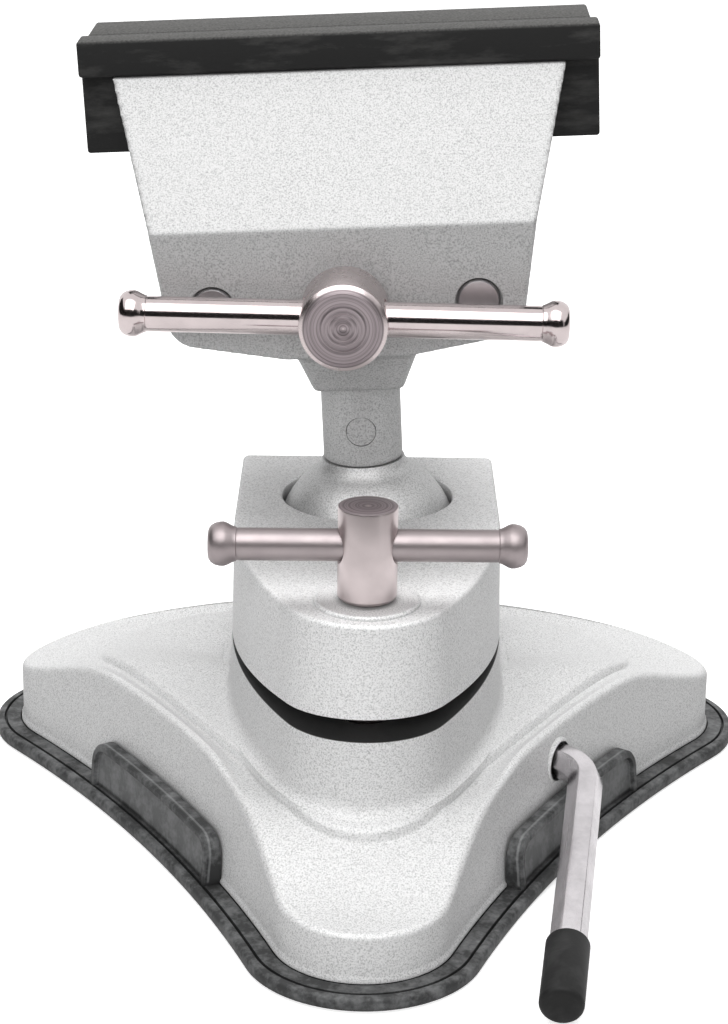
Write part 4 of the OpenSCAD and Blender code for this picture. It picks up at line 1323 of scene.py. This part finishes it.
def make_lead_head(v):
    """The lead screw's turned head, its neck and the thread's core."""
    h = v.head
    front, back, start, end = lead_ends(v)
    neck_radius = h.thread - 0.6 * MM
    groove = neck_radius - 0.5 * MM
    core = h.thread - 0.75 * MM
    tip = end - 3 * MM
    clip = h.grip - h.pad_plate + 0.2 * MM
    clip_end = clip + 1.05 * MM
    r = h.head_radius
    profile = [(0, front + 0.3 * MM), (r * 0.05, front + 0.2 * MM)]
    for i, depth in enumerate(RING_DEPTHS):
        profile.append((r * (0.1 + 0.055 * i), front + depth * MM))
    profile += [
        (r - 1.15 * MM, front), (r - 0.3 * MM, front + 0.4 * MM), (r - 0.06 * MM, front + 0.62 * MM),
        (r, front + 0.9 * MM), (r, back - 0.5 * MM), (r - 0.5 * MM, back),
        (neck_radius, back), (neck_radius, clip - SEATED / 2), (groove, clip - SEATED / 2),
        (groove, clip_end), (neck_radius, clip_end), (neck_radius, start - 0.6 * MM),
        (core, start), (core, end - 4 * MM), (h.thread - 1.2 * MM, tip), (0, tip),
    ]
    piece = lathe("lead_head", profile)
    bore = place(cross_bore(h.bar_radius + RUNNING, r), moved(0, 0, (front + back) / 2))
    return cut(piece, [bore])


def new_tree(name, kind, *inputs):
    """A geometry node tree with named inputs of one kind and a material, and its inputs."""
    tree = bpy.data.node_groups.new(name, "GeometryNodeTree")
    face = tree.interface
    face.new_socket("Geometry", in_out="INPUT", socket_type="NodeSocketGeometry")
    for label in inputs:
        face.new_socket(label, in_out="INPUT", socket_type=kind)
    face.new_socket("Material", in_out="INPUT", socket_type="NodeSocketMaterial")
    face.new_socket("Geometry", in_out="OUTPUT", socket_type="NodeSocketGeometry")
    return tree, node(tree, "NodeGroupInput").outputs


def end_nodes(tree, given, geometry):
    """Ends a tree in real geometry with its material."""
    real = node(tree, "GeometryNodeRealizeInstances", {0: geometry})
    coated = node(tree, "GeometryNodeSetMaterial", {
        "Geometry": real.outputs[0], "Material": given["Material"],
    })
    node(tree, "NodeGroupOutput", {0: coated.outputs[0]})
    return tree


def swept(tree, given, path, profile):
    """Ends a tree in a profile that is swept along a path and closed at its ends."""
    upright = node(tree, "GeometryNodeSetCurveNormal", {"Curve": path.outputs[0]})
    solid = node(tree, "GeometryNodeCurveToMesh", {
        "Curve": upright.outputs[0], "Profile Curve": profile.outputs[0], "Fill Caps": True,
    })
    return end_nodes(tree, given, solid.outputs[0])


def thread_nodes():
    """Geometry nodes: a helix of a given pitch, swept with a small ridge."""
    tree, given = new_tree("thread", "NodeSocketFloat", "Radius", "Length", "Turns", "Ridge")
    helix = node(tree, "GeometryNodeCurveSpiral", {
        "Resolution": 36, "Rotations": given["Turns"], "Height": given["Length"],
        "Start Radius": given["Radius"], "End Radius": given["Radius"],
    })
    ridge = node(tree, "GeometryNodeCurvePrimitiveCircle", {
        "Resolution": 4, "Radius": given["Ridge"],
    })
    return swept(tree, given, helix, ridge)


def grown(piece, tree, **values):
    """Runs a node tree on a piece with the named inputs and keeps the result."""
    maker = piece.modifiers.new("Maker", "NODES")
    maker.node_group = tree
    keys = {item.name: item.identifier for item in tree.interface.items_tree if item.in_out == "INPUT"}
    for name, value in values.items():
        maker[keys[name]] = value
    return settle(piece)


def make_lead_screw(v, material):
    """The lead screw with its thread."""
    h = v.head
    start, end = lead_ends(v)[2:]
    run = end - THREAD_SHORT - start
    thread = grown(
        new_piece("thread", [], []), thread_nodes(), Radius=h.thread - RIDGE, Length=run,
        Turns=run / h.pitch, Ridge=RIDGE, Material=material
    )
    place(thread, moved(0, 0, start + 0.1 * MM))
    return place(joined("lead_screw_body", [make_lead_head(v), thread]), screw_place(v))


def lead_bar_place(v):
    front, back = lead_ends(v)[:2]
    return screw_place(v) @ moved(0, 0, (front + back) / 2) @ ALONG_X


# ---- Suction lever ----

def hexagon_nodes(facet):
    """Geometry nodes: a bent path with a filleted corner, swept as a hexagon bar."""
    tree, given = new_tree("hexagon bar", "NodeSocketFloat", "Corner Radius", "Bend Radius")
    path = node(tree, "GeometryNodeMeshToCurve", {0: given["Geometry"]})
    bent = node(tree, "GeometryNodeFilletCurve", {
        "Curve": path.outputs[0], "Radius": given["Bend Radius"], "Count": 16,
    }, mode="POLY")
    hexagon = node(tree, "GeometryNodeCurvePrimitiveCircle", {
        "Resolution": 6, "Radius": given["Corner Radius"],
    })
    turned_hexagon = node(tree, "GeometryNodeTransform", {
        "Geometry": hexagon.outputs[0], "Rotation": (0, 0, facet),
    })
    return swept(tree, given, bent, turned_hexagon)


def corner_radius(a):
    """From the hexagon bar's middle to its corners."""
    return a.across / 2 / math.cos(math.pi / 6)


def make_lever(v, material):
    """The lever: a hexagon bar that is turned round inside the casting."""
    a = v.lever
    corner = v.base.waist + a.out
    lean = math.pi / 2 - a.lean
    start = corner - a.bend * math.tan(lean / 2)
    path = bpy.data.meshes.new("lever_path")
    end = (corner + a.arm * math.cos(lean), a.arm * math.sin(lean), 0)
    path.from_pydata([(start - 0.2 * MM, 0, 0), (corner, 0, 0), end], [(0, 1), (1, 2)], [])
    bar = linked("lever_path", path)
    values = {"Corner Radius": corner_radius(a), "Bend Radius": a.bend, "Material": material}
    grown(bar, hexagon_nodes(a.facet), **values)
    outward(bar)
    bevelled(bar, 0.25 * MM, 2, 40)
    place(bar, turned(math.pi + a.drop, "X"))
    shaft = place(rod("shaft", a.across / 2, a.shaft_in, start + 0.3 * MM), ALONG_X)
    return place(joined("lever_body", [bar, shaft]), lever_place(v))


def make_lever_cap(v):
    """The soft cap: a tube over the bar with a rounded closed end."""
    a = v.lever
    r = a.cap_radius
    full = a.cap_length
    inner = corner_radius(a) + 0.01 * MM
    round_off = 0.75 * MM
    profile = [(inner, full - a.cap_over), (inner, 0.15 * MM), (inner + 0.1 * MM, 0)]
    profile += [(r - 0.2 * MM, 0), (r, 0.25 * MM), (r, full - round_off)]
    profile += arc((r - round_off, full - round_off), round_off, 0, 90, 6)[1:]
    profile += [(0, full)]
    piece = lathe("lever_grip", [(0, full - a.cap_over)] + profile, 64)
    return place(piece, arm_place(v) @ moved(0, 0, a.arm + a.cap_over - full))


# ---- Suction pad ----

# A lug's gap to the casting, its lean over its height, its upper corners' radius, the easing
# of its edges, the border's width round its panel and the panel's depth
LUG_GAP = 0.15 * MM
LUG_LEAN = 0.7 * MM
LUG_ROUND = 3.2 * MM
LUG_EASE = 0.3 * MM
LUG_BORDER = 1.0 * MM
LUG_PANEL = 0.75 * MM
LUG_STEPS = 30
TOP_STEPS = 16

# Sizes of the rings that close the sheet's flat faces
SHEET_SHARES = (0.15, 0.4, 0.7)


def lug_ring(v, inset):
    """Outline of a lug that is drawn in by an inset, as (distance along, height)."""
    b = v.base
    tall = b.rubber + b.lug_height
    round_top = LUG_ROUND - inset
    base = 0.05 * MM if inset == 0 else inset
    side = b.lug_length / 2 - inset
    span = 2 * (side - round_top)
    bottom = [(side - 2 * side * i / LUG_STEPS, base) for i in range(LUG_STEPS + 1)]
    waist = base + (tall - inset - round_top - base) * 0.5
    left = arc((-side + round_top, tall - inset - round_top), round_top, 180, 90, 6)
    top = [(-side + round_top + span * i / TOP_STEPS, tall - inset) for i in range(1, TOP_STEPS)]
    right = [(-x, z) for x, z in reversed(left)]
    return bottom + [(-side, waist)] + left + top + right + [(side, waist)]


def lug_blank(v):
    """One release lug: a curved tab with a raised border round a sunk panel."""
    b = v.base
    line = base_line(v)
    half = b.lug_length / 2
    reach = half / (side_radius(line) * math.sin(lobe_sweep(line) - math.pi / 3))

    def spot(x, z, depth):
        lean = LUG_LEAN * max(0.0, z - b.rubber) / b.lug_height if depth < b.lug_thickness else 0
        out = LUG_GAP + b.lug_thickness - depth - lean
        p = side_point(line, out, LEVER_ANGLE, reach * x / half)
        return (p.x, p.y, z)

    # Distance in from the lug's outline, and depth under its outer face
    section = (
        (0, b.lug_thickness), (0, LUG_EASE), (LUG_EASE, 0), (LUG_BORDER, 0),
        (LUG_BORDER + LUG_EASE, LUG_PANEL),
    )
    rings = [[spot(x, z, depth) for x, z in lug_ring(v, inset)] for inset, depth in section]
    n = len(rings[0])
    faces = ring_faces(len(rings), n) + strip(0, n) + strip((len(rings) - 1) * n, n)
    return new_piece("lug", [p for ring in rings for p in ring], faces)


def strip(first, n):
    """Faces across a ring, from its bottom row to the mirrored points of its top."""
    bottom = [first + i for i in range(LUG_STEPS + 1)]
    rest = [first + i for i in range(n - 1, LUG_STEPS, -1)]
    count = min(len(bottom), len(rest))
    faces = []
    for i in range(count - 1):
        faces.append((bottom[i], bottom[i + 1], rest[i + 1], rest[i]))
    tail = bottom[count - 1:] + list(reversed(rest[count - 1:]))
    if len(tail) > 2:
        faces.append(tail)
    return faces


def lug_nodes():
    """Geometry nodes: the same lug repeated evenly round the middle."""
    tree, given = new_tree("lugs", "NodeSocketInt", "Count")
    spots = node(tree, "GeometryNodePoints", {"Count": given["Count"]})
    index = node(tree, "GeometryNodeInputIndex")
    share = maths(tree, "DIVIDE", index.outputs[0], given["Count"])
    turn = node(tree, "ShaderNodeCombineXYZ", {2: times(tree, share, 2 * math.pi)})
    placed = node(tree, "GeometryNodeInstanceOnPoints", {
        "Points": spots.outputs[0], "Instance": given["Geometry"], "Rotation": turn.outputs[0],
    })
    return end_nodes(tree, given, placed.outputs[0])


def make_rubber(v, material):
    """The rubber sheet with its rounded rim and the three release lugs."""
    b = v.base
    line = base_line(v)
    t = b.rubber
    groove = t - 0.5 * MM
    foot_groove = t - 0.6 * MM
    # From underneath: rounded rim, groove inside the rim, groove at the casting's foot
    rim = [
        (b.flange - 0.5 * MM, 0), (b.flange - 0.1 * MM, 0.25 * MM), (b.flange, 0.7 * MM),
        (b.flange, t - 0.6 * MM), (b.flange - 0.15 * MM, t - 0.2 * MM), (b.flange - 0.5 * MM, t),
        (b.flange - 1.2 * MM, t), (b.flange - 1.3 * MM, groove), (b.flange - 1.55 * MM, groove),
        (b.flange - 1.65 * MM, t), (0.55 * MM, t), (0.45 * MM, foot_groove),
        (0.1 * MM, foot_groove), (0, t), (-4 * MM, t),
    ]
    under = lobed(line, rim[0][0])
    above = lobed(line, rim[-1][0])
    rings = [level([p * size for p in under], 0) for size in SHEET_SHARES]
    rings += [level(lobed(line, grow), z) for grow, z in rim]
    rings += [level([p * size for p in above], t) for size in reversed(SHEET_SHARES)]
    sheet = lofted("sheet", rings)
    lugs = grown(lug_blank(v), lug_nodes(), Count=len(SIDE_ANGLES), Material=material)
    return joined("base_rubber", [sheet, lugs])


# ---- Operators ----

class VISE_OT_casting(bpy.types.Operator):
    """Make the base casting"""
    bl_idname = "vise.casting"
    bl_label = "Base casting"

    def execute(self, context):
        v = context.scene.vise
        piece = make_base_casting(v)
        # The base's paint carries the painted shadow inside the clamp's split
        paint = silver_paint(v, "base paint", split=True)
        finish(piece, paint, "base", "silver_casting", 40, ["base_casting"])
        return {"FINISHED"}


class VISE_OT_rubber(bpy.types.Operator):
    """Make the suction pad with its release lugs"""
    bl_idname = "vise.rubber"
    bl_label = "Suction pad"

    def execute(self, context):
        v = context.scene.vise
        material = mottled_rubber(v)
        finish(make_rubber(v, material), material, "base", "pad_rubber", 40, ["suction_pad"])
        return {"FINISHED"}


class VISE_OT_clamp(bpy.types.Operator):
    """Make the clamp cap, its screw, its bar and the ball"""
    bl_idname = "vise.clamp"
    bl_label = "Ball clamp"

    def execute(self, context):
        v = context.scene.vise
        c = v.clamp
        f = v.finish
        # Painted light: a brighter copy of the silver paint lifts the cap that the jaws shade
        paint = silver_paint(v, "cap paint", 1.14)
        finish(make_clamp_cap(v), paint, "cap", "silver_casting", 40, ["clamp_cap"])
        top = (c.head_height - 0.08 * MM, c.head_height - 0.04 * MM)
        head = turned_metal("clamp head nickel", f.nickel, clamp_place(v), 0.3, top, f.turned_face)
        finish(make_clamp_screw(v), head, "clamp", "bright_nickel", 30, ["clamp_screw"])
        bar = place(tommy_bar("clamp_handle_body", c.bar_radius, c.bar_length), clamp_bar_place(v))
        # The clamp bar's darker nickel is partly worn plating and partly painted shade that dims the
        # lamp's reflection
        metal = turned_metal("clamp bar nickel", f.dull_shaded_nickel, clamp_bar_place(v), 0.42)
        finish(bar, metal, "clamp_handle", "bright_nickel", 30, ["clamp_bar"])
        ball = silver_paint(v, "ball paint", 0.82, 0.7, reach=0.1 * MM)
        finish(make_ball(v), ball, "ball", "bright_nickel", 30, ["ball_stud"])
        return {"FINISHED"}


class VISE_OT_jaws(bpy.types.Operator):
    """Make both jaws and their rubber pads"""
    bl_idname = "vise.jaws"
    bl_label = "Jaws"

    def execute(self, context):
        v = context.scene.vise
        h = v.head
        # Painted shade: a darker copy of the silver paint for the jaws, which are lit less
        paint = silver_paint(v, "jaw paint", 0.64, 0.45, reach=0.4 * MM)
        finish(make_fixed_jaw(v), paint, "head", "silver_casting", 40, ["fixed_jaw"])
        finish(make_moving_jaw(v), paint, "jaw", "silver_casting", 40, ["moving_jaw"])
        dress("stem_pin", paint)
        rubber = dusty_rubber(v)
        front_end = h.grip - h.pad_plate - h.fixed_top - 0.1 * MM
        front = make_pad(v, "front_pad", h.grip - SEATED / 2, front_end, -1, h.fixed_pad)
        finish(front, rubber, "head", "jaw_rubber", 35, ["fixed_pad"])
        rear_end = h.grip + h.pad_plate + h.moving_top + 1.1 * MM
        rear = make_pad(v, "rear_pad", h.grip + SEATED / 2, rear_end, 1, h.moving_pad)
        finish(rear, rubber, "jaw", "jaw_rubber", 35, ["moving_pad"])
        return {"FINISHED"}


class VISE_OT_screw(bpy.types.Operator):
    """Make the lead screw and its bar, and finish the guide rods"""
    bl_idname = "vise.screw"
    bl_label = "Lead screw"

    def execute(self, context):
        v = context.scene.vise
        h = v.head
        f = v.finish
        front = lead_ends(v)[0]
        # The finish's Z points out of the head's end face
        local = screw_place(v) @ turned(math.pi, "X")
        face = (-front - 0.3 * MM, -front - 0.22 * MM)
        metal = turned_metal("lead screw nickel", f.nickel, local, 0.26, face, f.turned_face)
        finish(make_lead_screw(v, metal), metal, "screw", "bright_nickel", 30, ["lead_screw"])
        bar = place(tommy_bar("lead_handle_body", h.bar_radius, h.bar_length), lead_bar_place(v))
        shine = turned_metal("lead bar nickel", f.nickel, lead_bar_place(v), 0.14)
        finish(bar, shine, "lead_handle", "bright_nickel", 30, ["lead_bar"])
        across = screw_place(v)
        rods = drawn_steel("rod steel", f.steel, across, 0.34)
        dress("guide_rod_left", rods)
        dress("guide_rod_right", rods)
        washer = turned_metal("washer steel", f.steel, across, 0.3)
        dress("thrust_washer", washer)
        dress("screw_clip", washer)
        return {"FINISHED"}


class VISE_OT_lever(bpy.types.Operator):
    """Make the suction lever and its cap, and finish the cam inside"""
    bl_idname = "vise.lever"
    bl_label = "Suction lever"

    def execute(self, context):
        v = context.scene.vise
        f = v.finish
        steel = drawn_steel("lever steel", f.lever_steel, arm_place(v), 0.24)
        finish(make_lever(v, steel), steel, "lever", "bar_steel", 30, ["lever_bar"])
        vinyl = matt_plastic("black vinyl", f.vinyl, 0.6)
        finish(make_lever_cap(v), vinyl, "lever", "black_vinyl", 40, ["lever_cap"])
        inner = drawn_steel("plated steel", f.steel, lever_place(v), 0.34)
        for name in ("cam", "cam_pin", "pull_plate", "pull_stud"):
            dress(name, inner)
        dress("ball_seat", matt_plastic("seat plastic", f.plastic, 0.4))
        return {"FINISHED"}


class VISE_OT_studio(bpy.types.Operator):
    """Make the camera, the lamps and the floor"""
    bl_idname = "vise.studio"
    bl_label = "Studio"

    def execute(self, context):
        v = context.scene.vise
        make_camera(context, v.studio)
        make_lamps(v.studio)
        make_floor(v.studio)
        make_cards(v.studio)
        make_sky(context, v.studio)
        context.scene.view_settings.view_transform = "Standard"
        return {"FINISHED"}


def make_camera(context, s):
    data = bpy.data.cameras.new("camera")
    data.lens = s.lens
    data.sensor_width = 36
    data.clip_start = 0.01
    camera = linked("camera", data)
    camera.matrix_world = (
        Matrix.Translation(s.eye) @ turned(s.aside, "Z") @ turned(math.pi / 2 - s.down, "X")
        @ turned(s.roll, "Z")
    )
    context.scene.camera = camera


# Places and sizes of the lamps in metres; only the mirrored one shows in reflections, and it
# doesn't light matt surfaces
Lamp = namedtuple("Lamp", "place aim width height mirrored")
MIDDLE = (0, 0, 0.05)
LAMPS = {
    "key": Lamp((-0.08, -0.42, 0.78), (0, 0, 0.09), 1.1, 0.8, True),
    "front": Lamp((-0.12, -0.9, 0.47), MIDDLE, 0.8, 0.5, False),
    "top": Lamp((0, 0.3, 0.86), MIDDLE, 0.8, 0.8, False),
}

# Foot line of each dark card in metres, and its height as a share of the front card's
CARDS = {
    "front card": ((-1.3, -1.2), (1.3, -1.2), 1),
    "left card": ((-1.3, -1.2), (-0.9, 0.7), 0.9),
    "right card": ((0.9, -0.7), (0.9, 0.7), 0.4),
}

# Half the floor's width in metres, how much of its colour lights the vise, and how bright
# the camera and the reflections see it
FLOOR_REACH = 4.0
FLOOR_BOUNCE = 0.4
FLOOR_SEEN = 0.6
FLOOR_MIRRORED = 0.7


def make_lamps(s):
    """Soft rectangular lamps that point at a spot."""
    for name, lamp in LAMPS.items():
        data = bpy.data.lights.new(name, "AREA")
        data.shape = "RECTANGLE"
        data.size = lamp.width
        data.size_y = lamp.height
        data.energy = getattr(s, name)
        piece = linked(name, data)
        piece.location = lamp.place
        towards = Vector(lamp.aim) - Vector(lamp.place)
        piece.rotation_euler = towards.to_track_quat("-Z", "Y").to_euler()
        piece.visible_glossy = lamp.mirrored
        piece.visible_diffuse = not lamp.mirrored


def make_cards(s):
    """Dark cards that only reflections see, as round a photographer's table."""
    material, tree = blank_material("dark card")
    matt = node(tree, "ShaderNodeBsdfDiffuse", {"Color": (*s.card, 1)})
    node(tree, "ShaderNodeOutputMaterial", {0: matt.outputs[0]})
    low = s.card_low
    for name, (start, end, share) in CARDS.items():
        top = s.card_high * share
        corners = [(*start, low), (*end, low), (*end, top), (*start, top)]
        card = new_piece(name, corners, [(0, 1, 2, 3)])
        card.data.materials.append(material)
        card.visible_camera = False
        card.visible_diffuse = False
        card.visible_shadow = False


def make_floor(s):
    """A pale floor that fades into the white background and keeps the shadow."""
    corners = [(x * FLOOR_REACH, y * FLOOR_REACH, 0) for x, y in ((-1, -1), (1, -1), (1, 1), (-1, 1))]
    piece = new_piece("floor", corners, [(0, 1, 2, 3)])
    material, tree = blank_material("floor")
    path = node(tree, "ShaderNodeLightPath").outputs
    seen = maths(tree, "MAXIMUM", path["Is Camera Ray"], path["Is Transmission Ray"])
    tone = blend_colours(tree, seen, [c * FLOOR_BOUNCE for c in s.floor], s.floor)
    matt = node(tree, "ShaderNodeBsdfDiffuse", {"Color": tone})
    mirrored = times(tree, path["Is Glossy Ray"], FLOOR_MIRRORED)
    strength = plus(tree, times(tree, seen, FLOOR_SEEN), mirrored)
    glow = node(tree, "ShaderNodeEmission", {"Strength": strength})
    both = node(tree, "ShaderNodeAddShader", {0: matt.outputs[0], 1: glow.outputs[0]})
    node(tree, "ShaderNodeOutputMaterial", {0: both.outputs[0]})
    piece.data.materials.append(material)


def make_sky(context, s):
    """Soft light from all round; the camera and mirrors see it white."""
    world = bpy.data.worlds.new("studio")
    context.scene.world = world
    world.use_nodes = True
    tree = world.node_tree
    tree.nodes.clear()
    path = node(tree, "ShaderNodeLightPath").outputs
    seen = maths(tree, "MAXIMUM", path["Is Camera Ray"], path["Is Glossy Ray"])
    seen = maths(tree, "MAXIMUM", seen, path["Is Transmission Ray"])
    strength = ranged(tree, seen, s.sky, 1.0)
    light = node(tree, "ShaderNodeBackground", {"Color": (1, 1, 1, 1), "Strength": strength})
    node(tree, "ShaderNodeOutputWorld", {0: light.outputs[0]})


# ---- Panel ----

MAKERS = (
    VISE_OT_casting, VISE_OT_rubber, VISE_OT_clamp, VISE_OT_jaws, VISE_OT_screw,
    VISE_OT_lever, VISE_OT_studio,
)
GROUPS = ("base", "clamp", "head", "lever", "finish", "studio")


class VISE_PT_panel(bpy.types.Panel):
    """Lists the makers and the sizes"""
    bl_idname = "VISE_PT_panel"
    bl_label = "Suction base vise"
    bl_space_type = "VIEW_3D"
    bl_region_type = "UI"
    bl_category = "Vise"

    def draw(self, context):
        for maker in MAKERS:
            self.layout.operator(maker.bl_idname)
        for group in GROUPS:
            box = self.layout.box()
            box.label(text=group.capitalize())
            settings = getattr(context.scene.vise, group)
            for name in settings.__annotations__:
                box.prop(settings, name)


CLASSES = (
    BaseSizes, ClampSizes, HeadSizes, LeverSizes, Finishes, StudioSettings, ViseSettings,
    *MAKERS, VISE_PT_panel,
)


def register():
    for item in CLASSES:
        bpy.utils.register_class(item)
    bpy.types.Scene.vise = bpy.props.PointerProperty(type=ViseSettings)


def unregister():
    del bpy.types.Scene.vise
    for item in reversed(CLASSES):
        bpy.utils.unregister_class(item)


def main():
    register()
    bpy.ops.vise.studio()
    bpy.ops.vise.casting()
    bpy.ops.vise.rubber()
    bpy.ops.vise.clamp()
    bpy.ops.vise.jaws()
    bpy.ops.vise.screw()
    bpy.ops.vise.lever()


if __name__ == "__main__":
    main()
